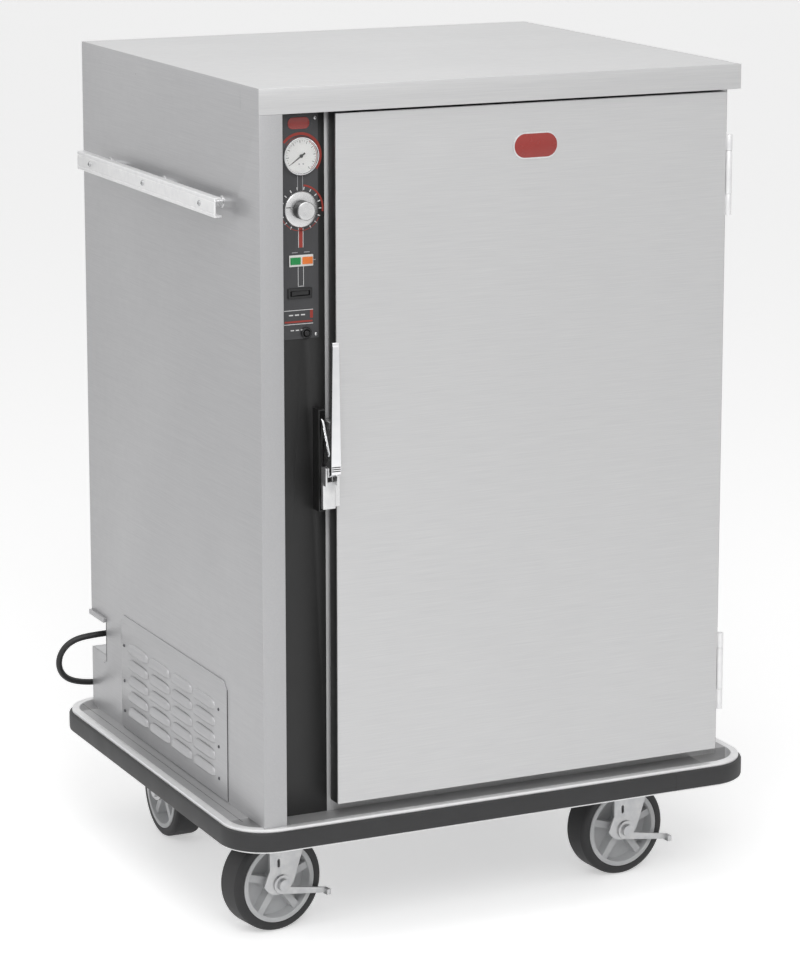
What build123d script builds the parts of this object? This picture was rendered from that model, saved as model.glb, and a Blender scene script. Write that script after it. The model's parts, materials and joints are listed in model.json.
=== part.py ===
"""Heated banquet cabinet on four casters, as an assembly of separate pieces.

Millimetres. X runs to the right, Y to the back and Z up, and the door faces -Y.
The origin is on the floor, under the middle of the cabinet body.
"""
from build123d import *
import os
from math import cos, pi, radians, sin, tan

os.makedirs("parts", exist_ok=True)

# Driving sizes of the cabinet body
body_width = 793.0
body_depth = 721.0
body_height = 1301.0
deck_top = 203.0
sheet = 1.5
touch_gap = 0.3
run_clearance = 0.05

left = -body_width / 2
right = body_width / 2
front = -body_depth / 2
back = body_depth / 2

# Front face: stile, recess, black strip and door
stile_width = 36.5
recess_depth = 40.5
strip_width = 82.5
cover_rim = 38.0
door_from_left = 123.0
door_from_right = 19.6
door_setback = 7.8
door_sheet = 1.5
door_depth = 28.2
door_bottom_gap = 19.0
door_top_gap = 4.0
gasket_width = 14.0
gasket_inset = 5.0
gasket_squeeze_gap = 0.5

recess = front + recess_depth
door_left = left + door_from_left
door_right = right - door_from_right
door_face = front + door_setback
door_bottom = deck_top + door_bottom_gap
cover_bottom = body_height - cover_rim
door_top = cover_bottom - door_top_gap
door_rear = door_face + door_depth

# Heated cavity and its insulation
cavity_left_margin = 27.5
cavity_right_margin = 26.9
cavity_bottom_margin = 28.0
cavity_top_margin = 27.0
insulation_left = 26.0
insulation_back = 40.0
throat_flange = 12.0

cavity_left = door_left + cavity_left_margin
cavity_right = door_right - cavity_right_margin
cavity_bottom = door_bottom + cavity_bottom_margin
cavity_top = door_top - cavity_top_margin
cavity_back = back - sheet - insulation_back - sheet
frame_back = recess + sheet

# Base: deck with notched corners, bumper rail and rubber
bumper_side = 47.5
bumper_front = 12.5
bumper_back = 46.0
bumper_corner = 73.0
rail_bottom = 166.0
rail_bottom_lip = 2.6
rail_top_lip = 5.2
rail_web = 3.0
rail_setback = 5.0
rubber_depth = 14.0
rubber_round = 4.0
deck_sheet = 3.0
skirt_thick = 3.0
corner_notch_x = 75.5
corner_notch_y = 58.0
bolster_width = 130.0
bolster_wall = 4.0

# Casters
wheel_radius = 76.2
core_radius = 62.0
tread_width = 50.0
tyre_round = 7.0
rim_wall = 7.0
web_thick = 6.0
hub_radius = 17.0
hub_length = 54.0
spoke_count = 5
spoke_first = 17.0
spoke_thick = 11.0
spoke_width = 40.0
axle_radius = 6.0
axle_head_radius = 9.5
axle_head = 6.0
fork_inside = 56.0
fork_leg = 4.0
fork_leg_rear = 21.0
fork_leg_fore = 45.0
fork_leg_end = 21.5
fork_leg_flare = 31.0
fork_leg_knee = 24.0
fork_leg_drop = 16.0
fork_crown_bottom = 162.0
fork_crown_thick = 6.0
raceway_radius = 33.0
kingpin_radius = 8.0
kingpin_head_radius = 13.0
kingpin_head = 5.0
thrust_gap = 0.5
caster_height = 190.5
plate_thick = 5.0
plate_length = 110.0
plate_width = 95.0
caster_trail = 33.0
caster_x = right - 97.5
caster_front_y = front + 136.5
caster_rear_y = back - 145.5
slot_length = 13.0
slot_width = 5.0

# Brake levers of the front casters
lever_plate = 4.0
lever_eye = 15.0
pedal_reach = 80.0
pedal_drop = 24.0
pedal_width = 9.0
pedal_tab = 7.0
pedal_tab_out = 10.0

# Push handle on the left wall
handle_front_y = front + 82.5
handle_back_y = back - 70.5
handle_bottom = body_height - 194.0
handle_height = 29.0
handle_standoff = 24.5
handle_depth = 12.0
handle_wall = 3.0
spacer_radius = 9.0
handle_screw_radius = 4.5
handle_screw_head = 2.2
handle_screw_inset = 56.0

# Louvred access panel on the left wall
louvre_front_y = -221.0
louvre_back_y = 222.0
louvre_bottom = deck_top + 2.0
louvre_top = deck_top + 189.0
louvre_chamfer = 12.0
louvre_columns = 4
louvre_rows = 5
louvre_pitch_y = 93.0
louvre_pitch_z = 26.5
louvre_length = 83.0
louvre_height = 15.0
louvre_bulge = 6.0
louvre_skin = 1.2
louvre_first_y = -133.5
louvre_first_z = deck_top + 37.0
access_margin = 24.0
louvre_screw_front = 31.0
louvre_screw_back = 14.0
louvre_screw_low = 28.0

# Cord recess at the rear left corner
recess_front_y = back - 66.5
recess_bottom = deck_top + 100.0
recess_top = deck_top + 162.0
recess_inner = 51.5

# Controls on the black strip
fascia_thick = 1.8
fascia_width = 72.0
fascia_bottom = body_height - 373.0
fascia_top = body_height - 44.0
dial_x = left + 80.1
dial_z = body_height - 104.4
dial_radius = 28.5
dial_lip = 3.0
dial_stand = 7.0
dial_body_radius = 25.0
dial_body_depth = 22.0
needle_length = 19.0
needle_tail = 7.0
needle_width = 2.4
needle_hub = 2.6
needle_thick = 0.8
needle_pin_radius = 1.2
knob_x = left + 80.7
knob_z = body_height - 182.4
knob_skirt_radius = 26.5
knob_skirt = 3.4
knob_cap_radius = 13.5
knob_cap = 19.0
knob_shaft_radius = 3.2
knob_shaft = 30.0
lamp_x = left + 80.5
lamp_z = body_height - 257.5
lamp_width = 38.0
lamp_height = 17.0
lamp_stand = 2.4
lens_stand = 1.4
switch_x = left + 78.5
switch_z = body_height - 305.5
switch_width = 38.0
switch_height = 15.0
switch_lip = 2.4
switch_stand = 2.4
switch_body = 26.0
rocker_tilt = 5.0
breaker_x = left + 88.5
breaker_z = body_height - 365.0
breaker_radius = 4.2
breaker_stand = 4.0

# Latch on the door's left edge and its keeper
keeper_left = left + 99.0
keeper_right = left + 110.0
keeper_bottom = 671.0
keeper_top = 824.0
keeper_front = front + 19.5
keeper_wall = 2.0
latch_body_left = left + 111.0
latch_body_bottom = 682.0
latch_body_top = 806.0
latch_body_front = front - 1.5
latch_body_back = front + 30.5
latch_pivot_y = front - 12.5
latch_pivot_z = 737.0
latch_barrel_radius = 6.5
latch_plate_left = left + 93.0
latch_plate_right = left + 114.0
latch_plate_bottom = 681.0
latch_plate_top = 735.0
lever_top = 932.0
lever_front = front - 32.0
lever_thick = 6.5
lever_foot_width = 15.0
lever_tip_width = 9.5
grip_x = left + 104.0
latch_ear = 2.6
latch_ear_gap = 0.4
latch_pin_radius = 2.5

# Hinges at the door's right edge
hinge_pin_x = right - 14.2
hinge_pin_y = front + 8.5
hinge_pin_radius = 2.5
knuckle_radius = 5.0
hinge_leaf = 2.5
hinge_length = 123.0
hinge_top_bottom = body_height - 231.0
hinge_low_bottom = deck_top + 84.0
knuckle_low = 32.0
knuckle_high = 24.0
knuckle_gap = 0.4

# Inside the cavity
shelf_count = 3
shelf_first = 430.0
shelf_pitch = 210.0
shelf_wire = 3.0
shelf_rim_wire = 4.0
shelf_bars = 15
support_width = 20.0
support_depth = 10.0
support_y = 215.0
support_arm = 50.0
support_arm_right = 34.0
support_arm_thick = 4.0
shelf_side_gap = 2.0
duct_front_y = -60.0
duct_back_y = 180.0
duct_bottom = 262.0
duct_top = 1100.0
duct_depth = 36.0
duct_slot = 12.0
duct_slot_pitch = 60.0
blower_y = 60.0
blower_z = 335.0
blower_wheel_radius = 52.0
blower_wheel_width = 22.0
blower_blades = 12
blower_inlet = 40.0
motor_radius = 34.0
motor_length = 62.0
motor_shaft_radius = 4.0
motor_flange = 46.0
motor_flange_thick = 3.0
heater_radius = 4.2
heater_low = 430.0
heater_high = 1050.0
heater_half = 55.0
heater_corner = 30.0
heater_foot_corner = 10.0

# Power cord
cord_dia = 10.0
cord_exit_y = 332.0
cord_exit_z = 330.0
relief_length = 28.0
relief_nose = 7.0
relief_root = 10.5
relief_flange = 15.0
relief_flange_thick = 3.0
coil_x = -18.0
coil_y = 512.0
coil_lift = 1.6
coil_outer = 66.0
coil_pitch = 10.6
coil_return_step = 11.2
coil_tail = 58.0
tie_thick = 1.2
tie_width = 16.0
plug_length = 46.0
plug_radius = 15.5
plug_neck = 22.0
blade_length = 18.0
blade_width = 6.4
blade_thick = 1.6
blade_gap = 12.7
pin_radius = 2.4


def save(piece, name):
    """Label a finished piece and write it to its own file."""
    piece.part.label = name
    export_step(piece.part, f"parts/{name}.step")


def block(low, high, mode=Mode.ADD):
    """Add a box between two corners to the part that is being built."""
    size = [b - a for a, b in zip(low, high)]
    middle = [(a + b) / 2 for a, b in zip(low, high)]
    with Locations(Vector(*middle)):
        Box(*size, mode=mode)


def rod(start, end, radius, mode=Mode.ADD):
    """Add a round bar between two points to the part that is being built."""
    direction = Vector(*end) - Vector(*start)
    with Locations(Plane(origin=start, z_dir=direction)):
        Cylinder(radius, direction.length, align=(Align.CENTER, Align.CENTER, Align.MIN), mode=mode)


# Base frame: deck, skirt and two bolsters that the casters bolt to
rail_inner = bumper_side - rubber_depth - rail_web
deck_x = right + rail_inner
deck_front = front - bumper_front + rubber_depth + rail_web
deck_back = back + bumper_back - rubber_depth - rail_web


def deck_outline(inset):
    """Corners of the deck, which is notched at its four corners and drawn in by an inset."""
    x_far = deck_x - inset
    x_near = deck_x - corner_notch_x - inset
    y_low = deck_front + inset
    y_low_notch = deck_front + corner_notch_y + inset
    y_high = deck_back - inset
    y_high_notch = deck_back - corner_notch_y - inset
    return [
        (x_near, y_low), (x_near, y_low_notch), (x_far, y_low_notch),
        (x_far, y_high_notch), (x_near, y_high_notch), (x_near, y_high),
        (-x_near, y_high), (-x_near, y_high_notch), (-x_far, y_high_notch),
        (-x_far, y_low_notch), (-x_near, y_low_notch), (-x_near, y_low),
    ]


with BuildPart() as base_frame:
    with BuildSketch(Plane.XY.offset(rail_bottom)):
        with BuildLine():
            Polyline(*deck_outline(0), close=True)
        make_face()
    extrude(amount=deck_top - rail_bottom)
    with BuildSketch(Plane.XY.offset(rail_bottom)):
        with BuildLine():
            Polyline(*deck_outline(skirt_thick), close=True)
        make_face()
    extrude(amount=deck_top - rail_bottom - deck_sheet, mode=Mode.SUBTRACT)
    for bolster_y in (caster_front_y, caster_rear_y):
        y_low = bolster_y - bolster_width / 2
        y_high = bolster_y + bolster_width / 2
        x_reach = deck_x - skirt_thick
        block((-x_reach, y_low, caster_height), (x_reach, y_high, caster_height + bolster_wall))
        for y_rib in (y_low, y_high - bolster_wall):
            block((-x_reach, y_rib, caster_height), (x_reach, y_rib + bolster_wall, deck_top - deck_sheet))
save(base_frame, "base_frame")


def bumper_outline(inset, mode=Mode.ADD):
    """Draw the rounded outline of the bumper, drawn in all round by an inset."""
    width = 2 * (right + bumper_side - inset)
    y_low = front - bumper_front + inset
    y_high = back + bumper_back - inset
    with Locations((0, (y_low + y_high) / 2)):
        RectangleRounded(width, y_high - y_low, bumper_corner - inset, mode=mode)


# Bumper rail: an aluminium channel that opens outwards
with BuildPart() as bumper_rail:
    with BuildSketch(Plane.XY.offset(rail_bottom)):
        bumper_outline(rail_setback)
        bumper_outline(rubber_depth + rail_web, mode=Mode.SUBTRACT)
    extrude(amount=deck_top - rail_bottom)
    with BuildSketch(Plane.XY.offset(rail_bottom + rail_bottom_lip)):
        bumper_outline(rail_setback - 1)
        bumper_outline(rubber_depth, mode=Mode.SUBTRACT)
    extrude(amount=deck_top - rail_top_lip - rail_bottom - rail_bottom_lip, mode=Mode.SUBTRACT)
save(bumper_rail, "bumper_rail")

# Bumper rubber, held in the channel
rubber_height = deck_top - rail_top_lip - rail_bottom - rail_bottom_lip
with BuildPart() as bumper_insert:
    with BuildSketch(Plane.XY.offset(rail_bottom + rail_bottom_lip)):
        bumper_outline(0)
    extrude(amount=rubber_height)
    fillet(bumper_insert.edges().filter_by(Axis.Z, reverse=True), radius=rubber_round)
    with BuildSketch(Plane.XY.offset(rail_bottom + rail_bottom_lip)):
        bumper_outline(rubber_depth)
    extrude(amount=rubber_height, mode=Mode.SUBTRACT)
save(bumper_insert, "bumper_insert")

# Left side panel: wall, folded stile, access opening and cord notch
with BuildPart() as left_side_panel:
    block((left, front + sheet, deck_top), (left + sheet, back, body_height))
    block((left, front, deck_top), (left + stile_width, front + sheet, cover_bottom))
    block(
        (left + stile_width - sheet, front + sheet, deck_top),
        (left + stile_width, recess - fascia_thick, cover_bottom),
    )
    block(
        (left - 1, louvre_front_y + access_margin, louvre_bottom + access_margin),
        (left + sheet + 1, louvre_back_y - access_margin, louvre_top - access_margin),
        mode=Mode.SUBTRACT,
    )
    block(
        (left - 1, recess_front_y, recess_bottom),
        (left + sheet + 1, back + 1, recess_top),
        mode=Mode.SUBTRACT,
    )
save(left_side_panel, "left_side_panel")

# Right side panel, set back behind the hinges
with BuildPart() as right_side_panel:
    block((right - sheet, recess, deck_top), (right, back, body_height))
save(right_side_panel, "right_side_panel")

# Back panel, with the corner cut away for the cord recess
with BuildPart() as back_panel:
    block((left + sheet, back - sheet, deck_top), (right - sheet, back, body_height))
    block(
        (left, back - sheet - 1, recess_bottom),
        (left + recess_inner, back + 1, recess_top),
        mode=Mode.SUBTRACT,
    )
save(back_panel, "back_panel")

# Top cover with its front rim and the lip behind it
with BuildPart() as top_cover:
    block((left + sheet, front + sheet, body_height - sheet), (right - sheet, back - sheet, body_height))
    block((left, front, cover_bottom), (right, front + sheet, body_height))
    block((left + sheet, front + sheet, cover_bottom), (right, recess, cover_bottom + sheet))
    block((right - sheet, front + sheet, cover_bottom + sheet), (right, recess, body_height))
save(top_cover, "top_cover")

# Front frame around the cavity, with the throat turned in
strip_right = left + stile_width + strip_width
with BuildPart() as front_frame:
    block((strip_right, recess, deck_top), (right - sheet, frame_back, cover_bottom))
    block(
        (cavity_left, recess - 1, cavity_bottom),
        (cavity_right, frame_back + 1, cavity_top),
        mode=Mode.SUBTRACT,
    )
save(front_frame, "front_frame")

# Black strip between the stile and the door, with holes for the controls
hole_margin = 1.0
with BuildPart() as recess_strip:
    block((left + stile_width, recess, deck_top), (strip_right, frame_back, cover_bottom))
    for x, z, radius in (
        (dial_x, dial_z, dial_body_radius),
        (knob_x, knob_z, knob_shaft_radius),
        (breaker_x, breaker_z, breaker_radius),
    ):
        rod((x, recess - 1, z), (x, frame_back + 1, z), radius + hole_margin, mode=Mode.SUBTRACT)
    block(
        (switch_x - switch_width / 2 + switch_lip, recess - 1, switch_z - switch_height / 2 + switch_lip),
        (switch_x + switch_width / 2 - switch_lip, frame_back + 1, switch_z + switch_height / 2 - switch_lip),
        mode=Mode.SUBTRACT,
    )
save(recess_strip, "recess_strip")

# Control fascia over the top of the strip
fascia_face = recess - fascia_thick
with BuildPart() as control_fascia:
    block(
        (left + stile_width, fascia_face, fascia_bottom),
        (left + stile_width + fascia_width, recess, fascia_top),
    )
    for x, z, radius in (
        (dial_x, dial_z, dial_body_radius),
        (knob_x, knob_z, knob_shaft_radius),
        (breaker_x, breaker_z, breaker_radius),
    ):
        rod((x, fascia_face - 1, z), (x, recess + 1, z), radius + hole_margin, mode=Mode.SUBTRACT)
    block(
        (switch_x - switch_width / 2 + switch_lip, fascia_face - 1, switch_z - switch_height / 2 + switch_lip),
        (switch_x + switch_width / 2 - switch_lip, recess + 1, switch_z + switch_height / 2 - switch_lip),
        mode=Mode.SUBTRACT,
    )
save(control_fascia, "control_fascia")

# Dial thermometer: cup with bezel, body behind the strip
dial_front = fascia_face - dial_stand
dial_floor = dial_front + dial_lip
with BuildPart() as thermometer_case:
    rod((dial_x, fascia_face, dial_z), (dial_x, dial_front, dial_z), dial_radius)
    rod((dial_x, fascia_face, dial_z), (dial_x, fascia_face + dial_body_depth, dial_z), dial_body_radius)
    rod(
        (dial_x, dial_front - 1, dial_z), (dial_x, dial_floor, dial_z),
        dial_radius - dial_lip, mode=Mode.SUBTRACT,
    )
    rod(
        (dial_x, dial_floor - 1, dial_z), (dial_x, dial_floor + dial_stand, dial_z),
        needle_pin_radius + run_clearance, mode=Mode.SUBTRACT,
    )
save(thermometer_case, "thermometer_case")

# Needle of the thermometer, lying across the dial at rest
needle_angle = 215.0
needle_y = dial_floor - touch_gap - needle_thick
with BuildPart() as thermometer_needle:
    needle_plane = Plane(
        origin=(dial_x, needle_y + needle_thick, dial_z),
        x_dir=(cos(radians(needle_angle)), 0, sin(radians(needle_angle))),
        z_dir=(0, -1, 0),
    )
    with BuildSketch(needle_plane):
        Circle(needle_hub)
        with BuildLine():
            Polyline(
                (-needle_tail, -needle_width / 2), (needle_length, -needle_width / 8),
                (needle_length, needle_width / 8), (-needle_tail, needle_width / 2),
                close=True,
            )
        make_face()
    extrude(amount=needle_thick)
    rod(
        (dial_x, needle_y + needle_thick, dial_z), (dial_x, dial_floor + dial_stand - touch_gap, dial_z),
        needle_pin_radius,
    )
save(thermometer_needle, "thermometer_needle")

# Thermostat behind the strip, with the bore that its knob turns in
thermostat_size = 46.0
with BuildPart() as thermostat:
    block(
        (knob_x - thermostat_size / 2, frame_back, knob_z - thermostat_size / 2),
        (knob_x + thermostat_size / 2, frame_back + knob_shaft, knob_z + thermostat_size / 2),
    )
    fillet(thermostat.edges().filter_by(Axis.Y), radius=8)
    rod(
        (knob_x, frame_back - 1, knob_z), (knob_x, frame_back + knob_shaft - sheet, knob_z),
        knob_shaft_radius + run_clearance, mode=Mode.SUBTRACT,
    )
save(thermostat, "thermostat")

# Thermostat knob: skirt, cap and shaft
knob_back = fascia_face - touch_gap
knob_front = knob_back - knob_skirt - knob_cap
with BuildPart() as thermostat_knob:
    rod((knob_x, knob_back, knob_z), (knob_x, knob_back - knob_skirt, knob_z), knob_skirt_radius)
    chamfer(thermostat_knob.faces().sort_by(Axis.Y)[0].edges(), length=1.2)
    rod((knob_x, knob_back - knob_skirt, knob_z), (knob_x, knob_front, knob_z), knob_cap_radius)
    fillet(thermostat_knob.faces().sort_by(Axis.Y)[0].edges(), radius=1.5)
    rod((knob_x, knob_back, knob_z), (knob_x, frame_back + knob_shaft / 2, knob_z), knob_shaft_radius)
save(thermostat_knob, "thermostat_knob")

# Pilot lamps: two lenses in one bezel
with BuildPart() as pilot_lamps:
    lamp_face = fascia_face - lamp_stand
    block(
        (lamp_x - lamp_width / 2, lamp_face, lamp_z - lamp_height / 2),
        (lamp_x + lamp_width / 2, fascia_face, lamp_z + lamp_height / 2),
    )
    lens_width = lamp_width / 2 - 2 * lens_stand
    for side in (-1, 1):
        middle = lamp_x + side * lamp_width / 4
        block(
            (middle - lens_width / 2, lamp_face - lens_stand, lamp_z - lamp_height / 2 + 2 * lens_stand),
            (middle + lens_width / 2, lamp_face, lamp_z + lamp_height / 2 - 2 * lens_stand),
        )
save(pilot_lamps, "pilot_lamps")

# Power switch housing: frame in front, box behind
switch_left = switch_x - switch_width / 2
switch_right = switch_x + switch_width / 2
switch_low = switch_z - switch_height / 2
switch_high = switch_z + switch_height / 2
switch_wall = 1.2
with BuildPart() as switch_housing:
    block(
        (switch_left, fascia_face - switch_stand, switch_low),
        (switch_right, fascia_face, switch_high),
    )
    block(
        (switch_left + switch_lip, fascia_face, switch_low + switch_lip),
        (switch_right - switch_lip, fascia_face + switch_body, switch_high - switch_lip),
    )
    well = switch_lip + switch_wall
    block(
        (switch_left + well, fascia_face - switch_stand - 1, switch_low + well),
        (switch_right - well, fascia_face + switch_body / 2, switch_high - well),
        mode=Mode.SUBTRACT,
    )
save(switch_housing, "switch_housing")

# Rocker of the power switch, tipped to its off side
rocker_gap = 0.6
rocker_half = switch_width / 2 - switch_lip - switch_wall - rocker_gap
rocker_height = switch_height - 2 * (switch_lip + switch_wall + rocker_gap)
rocker_pivot_y = fascia_face + 4.0
with BuildPart() as power_rocker:
    rocker_plane = Plane(
        origin=(switch_x, rocker_pivot_y, switch_z - rocker_height / 2),
        x_dir=(cos(radians(rocker_tilt)), sin(radians(rocker_tilt)), 0),
        z_dir=(0, 0, 1),
    )
    with BuildSketch(rocker_plane):
        with BuildLine():
            ends = rocker_half - 0.8
            Polyline((-ends, -5.5), (-ends, 1.5), (0, 4.5), (ends, 1.5), (ends, -5.5))
            ThreePointArc((ends, -5.5), (0, -4.0), (-ends, -5.5))
        make_face()
    extrude(amount=rocker_height)
save(power_rocker, "power_rocker")

# Reset button of the circuit breaker
with BuildPart() as breaker_button:
    rod(
        (breaker_x, fascia_face - breaker_stand, breaker_z), (breaker_x, frame_back + 4, breaker_z),
        breaker_radius,
    )
    fillet(breaker_button.faces().sort_by(Axis.Y)[0].edges(), radius=1.0)
save(breaker_button, "breaker_button")

# Inner liner: a box of sheet, open at the front, with a flange behind the frame
with BuildPart() as inner_liner:
    block(
        (cavity_left - sheet, frame_back, cavity_bottom - sheet),
        (cavity_right + sheet, cavity_back + sheet, cavity_top + sheet),
    )
    block(
        (cavity_left - throat_flange, frame_back, cavity_bottom - throat_flange),
        (cavity_right + throat_flange, frame_back + sheet, cavity_top + throat_flange),
    )
    block(
        (cavity_left, frame_back - 1, cavity_bottom),
        (cavity_right, cavity_back, cavity_top),
        mode=Mode.SUBTRACT,
    )
    rod(
        (cavity_left - sheet - 1, blower_y, blower_z), (cavity_left + 1, blower_y, blower_z),
        motor_shaft_radius + hole_margin, mode=Mode.SUBTRACT,
    )
save(inner_liner, "inner_liner")

# Insulation between the liner and the outer sheets
with BuildPart() as insulation:
    block(
        (cavity_left - sheet - insulation_left, frame_back + sheet, deck_top),
        (right - sheet, back - sheet, body_height - sheet),
    )
    block(
        (cavity_left - sheet, frame_back, cavity_bottom - sheet),
        (cavity_right + sheet, cavity_back + sheet, cavity_top + sheet),
        mode=Mode.SUBTRACT,
    )
    rod(
        (cavity_left - sheet - insulation_left - 1, blower_y, blower_z), (cavity_left, blower_y, blower_z),
        motor_shaft_radius + hole_margin, mode=Mode.SUBTRACT,
    )
save(insulation, "insulation")

# Louvred access panel, each louvre a hood open below
panel_face = left - sheet
with BuildPart() as louvre_panel:
    with BuildSketch(Plane.YZ.offset(left)):
        with BuildLine():
            Polyline(
                (louvre_front_y, louvre_bottom), (louvre_back_y, louvre_bottom),
                (louvre_back_y, louvre_top - louvre_chamfer), (louvre_back_y - louvre_chamfer, louvre_top),
                (louvre_front_y + louvre_chamfer, louvre_top), (louvre_front_y, louvre_top - louvre_chamfer),
                close=True,
            )
        make_face()
    extrude(amount=-sheet)
    for column in range(louvre_columns):
        for row in range(louvre_rows):
            y_middle = louvre_first_y + column * louvre_pitch_y
            z_middle = louvre_first_z + row * louvre_pitch_z
            hood_plane = Plane(
                origin=(panel_face, y_middle - louvre_length / 2, z_middle), x_dir=(-1, 0, 0), z_dir=(0, 1, 0)
            )
            with BuildSketch(hood_plane):
                with BuildLine():
                    Polyline(
                        (0, louvre_height / 2), (0, -louvre_height / 2),
                        (louvre_bulge, -louvre_height / 2), (louvre_bulge * 0.7, 0), close=True,
                    )
                make_face()
            extrude(amount=louvre_length)
            slot_plane = Plane(
                origin=(panel_face, y_middle - louvre_length / 2 + louvre_skin, z_middle),
                x_dir=(-1, 0, 0), z_dir=(0, 1, 0),
            )
            with BuildSketch(slot_plane):
                with BuildLine():
                    Polyline(
                        (-sheet - 1, -louvre_height / 2 - 1), (louvre_bulge - louvre_skin, -louvre_height / 2 - 1),
                        (louvre_bulge - louvre_skin, -louvre_height / 2), (-sheet - 1, 1), close=True,
                    )
                make_face()
            extrude(amount=louvre_length - 2 * louvre_skin, mode=Mode.SUBTRACT)
save(louvre_panel, "louvre_panel")

# Recess box behind the cord notch
with BuildPart() as cord_recess_box:
    block(
        (left + sheet, recess_front_y - sheet, recess_bottom - sheet),
        (left + recess_inner + sheet, back - sheet, recess_top + sheet),
    )
    block(
        (left, recess_front_y, recess_bottom),
        (left + recess_inner, back, recess_top),
        mode=Mode.SUBTRACT,
    )
save(cord_recess_box, "cord_recess_box")

# Tapered strain relief on the recess wall
relief_wall = left + recess_inner
cord_exit_x = relief_wall - relief_length
with BuildPart() as strain_relief:
    relief_step = relief_wall - relief_flange_thick
    rod((relief_wall, cord_exit_y, cord_exit_z), (relief_step, cord_exit_y, cord_exit_z), relief_flange)
    with BuildSketch(Plane(origin=(relief_step, cord_exit_y, cord_exit_z), z_dir=(-1, 0, 0))):
        Circle(relief_root)
    with BuildSketch(Plane(origin=(cord_exit_x, cord_exit_y, cord_exit_z), z_dir=(-1, 0, 0))):
        Circle(relief_nose)
    loft()
save(strain_relief, "strain_relief")

# Free stretch of the power cord: out of the notch, round and down behind the cabinet
coil_level = cord_dia / 2 + coil_lift
cord_route = [
    (cord_exit_x, cord_exit_y, cord_exit_z),
    (-418, 333, 329.5),
    (-445, 338, 320),
    (-459, 344.5, 300),
    (-459, 352, 275),
    (-444, 361, 253),
    (-414, 372.5, 239.5),
    (-368, 388, 231),
    (-322, 409, 222),
    (-293, 424, 203),
    (-276, 432, 170),
    (-262, 434, 128),
    (-246, 436, 84),
    (-223, 439, 43),
    (-188, 443, 15),
    (-144, 450, 6.8),
    (-98, 452, 6),
    (coil_x - 36, coil_y - coil_outer, coil_level),
    (coil_x, coil_y - coil_outer, coil_level),
]


def corner_radii(route):
    """Largest arc that each corner's two runs allow, 0.45 of the shorter run."""
    radii = []
    for before, here, after in zip(route, route[1:], route[2:]):
        run_in = Vector(*here) - Vector(*before)
        run_out = Vector(*after) - Vector(*here)
        half_turn = radians(run_in.get_angle(run_out)) / 2
        radii.append(0.45 * min(run_in.length, run_out.length) / tan(half_turn))
    return radii


cord_radii = corner_radii(cord_route)
print("cord radii", [round(radius) for radius in cord_radii])
with BuildPart() as power_cord:
    with BuildLine():
        cord_path = FilletPolyline(*cord_route, radius=cord_radii)
    with BuildSketch(Plane(origin=cord_route[0], z_dir=(-1, 0, 0))):
        Circle(cord_dia / 2)
    sweep()
cord_section = pi * (cord_dia / 2) ** 2
print("cord length", round(cord_path.length))
print("cord volume over section times length", power_cord.part.volume / (cord_section * cord_path.length))
save(power_cord, "power_cord")

# Coil: in on one layer, up, and out again on the next, in half turns
coil_reach = [coil_outer - step * coil_pitch / 2 for step in range(5)]
coil_reach.append(coil_reach[-1] + coil_return_step)
coil_reach.append(coil_reach[-1] + coil_pitch / 2)
coil_heights = [coil_level] * 4 + [coil_level + coil_pitch] * 3


def coil_point(step):
    """End of a half turn, which lies in front of the middle and behind it in turn."""
    side = -1 if step % 2 == 0 else 1
    return Vector(coil_x, coil_y + side * coil_reach[step], coil_heights[step])


def half_turn_middle(step):
    """Middle point of the half turn that starts at a step."""
    start = coil_point(step)
    end = coil_point(step + 1)
    side = 1 if step % 2 == 0 else -1
    return (start + end) / 2 + Vector(side * (end - start).length / 2, 0, 0)


half_turns = len(coil_reach) - 1
with BuildPart() as power_cord_coil:
    with BuildLine() as coil_line:
        for step in range(half_turns):
            ThreePointArc(coil_point(step), half_turn_middle(step), coil_point(step + 1))
        Line(coil_point(half_turns), coil_point(half_turns) + Vector(coil_tail, 0, 0))
    with BuildSketch(Plane(origin=coil_point(0), z_dir=(1, 0, 0))):
        Circle(cord_dia / 2)
    sweep()
coil_path = coil_line.wires()[0]
print("coil length", round(coil_path.length))
save(power_cord_coil, "power_cord_coil")


def least_self_gap(line, samples=700):
    """Least gap between stretches of the coil that are more than 3 diameters apart."""
    points = [line @ (step / samples) for step in range(samples + 1)]
    skip = int(3 * cord_dia / (line.length / samples)) + 1
    nearest = min(
        (points[i] - points[j]).length
        for i in range(0, len(points), 2)
        for j in range(i + skip, len(points))
    )
    return nearest - cord_dia


print("coil least gap", round(least_self_gap(coil_path), 2))

# Tie around the coil, on the side away from the plug
tie_inner = coil_reach[4] - cord_dia / 2 - touch_gap
tie_outer = coil_outer + cord_dia / 2 + touch_gap
tie_top = coil_level + coil_pitch + cord_dia / 2 + touch_gap
with BuildPart() as cord_tie:
    block(
        (coil_x - tie_outer - tie_thick, coil_y - tie_width / 2, 0),
        (coil_x - tie_inner + tie_thick, coil_y + tie_width / 2, tie_top + tie_thick),
    )
    block(
        (coil_x - tie_outer, coil_y - tie_width / 2 - 1, tie_thick),
        (coil_x - tie_inner, coil_y + tie_width / 2 + 1, tie_top),
        mode=Mode.SUBTRACT,
    )
save(cord_tie, "cord_tie")

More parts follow.
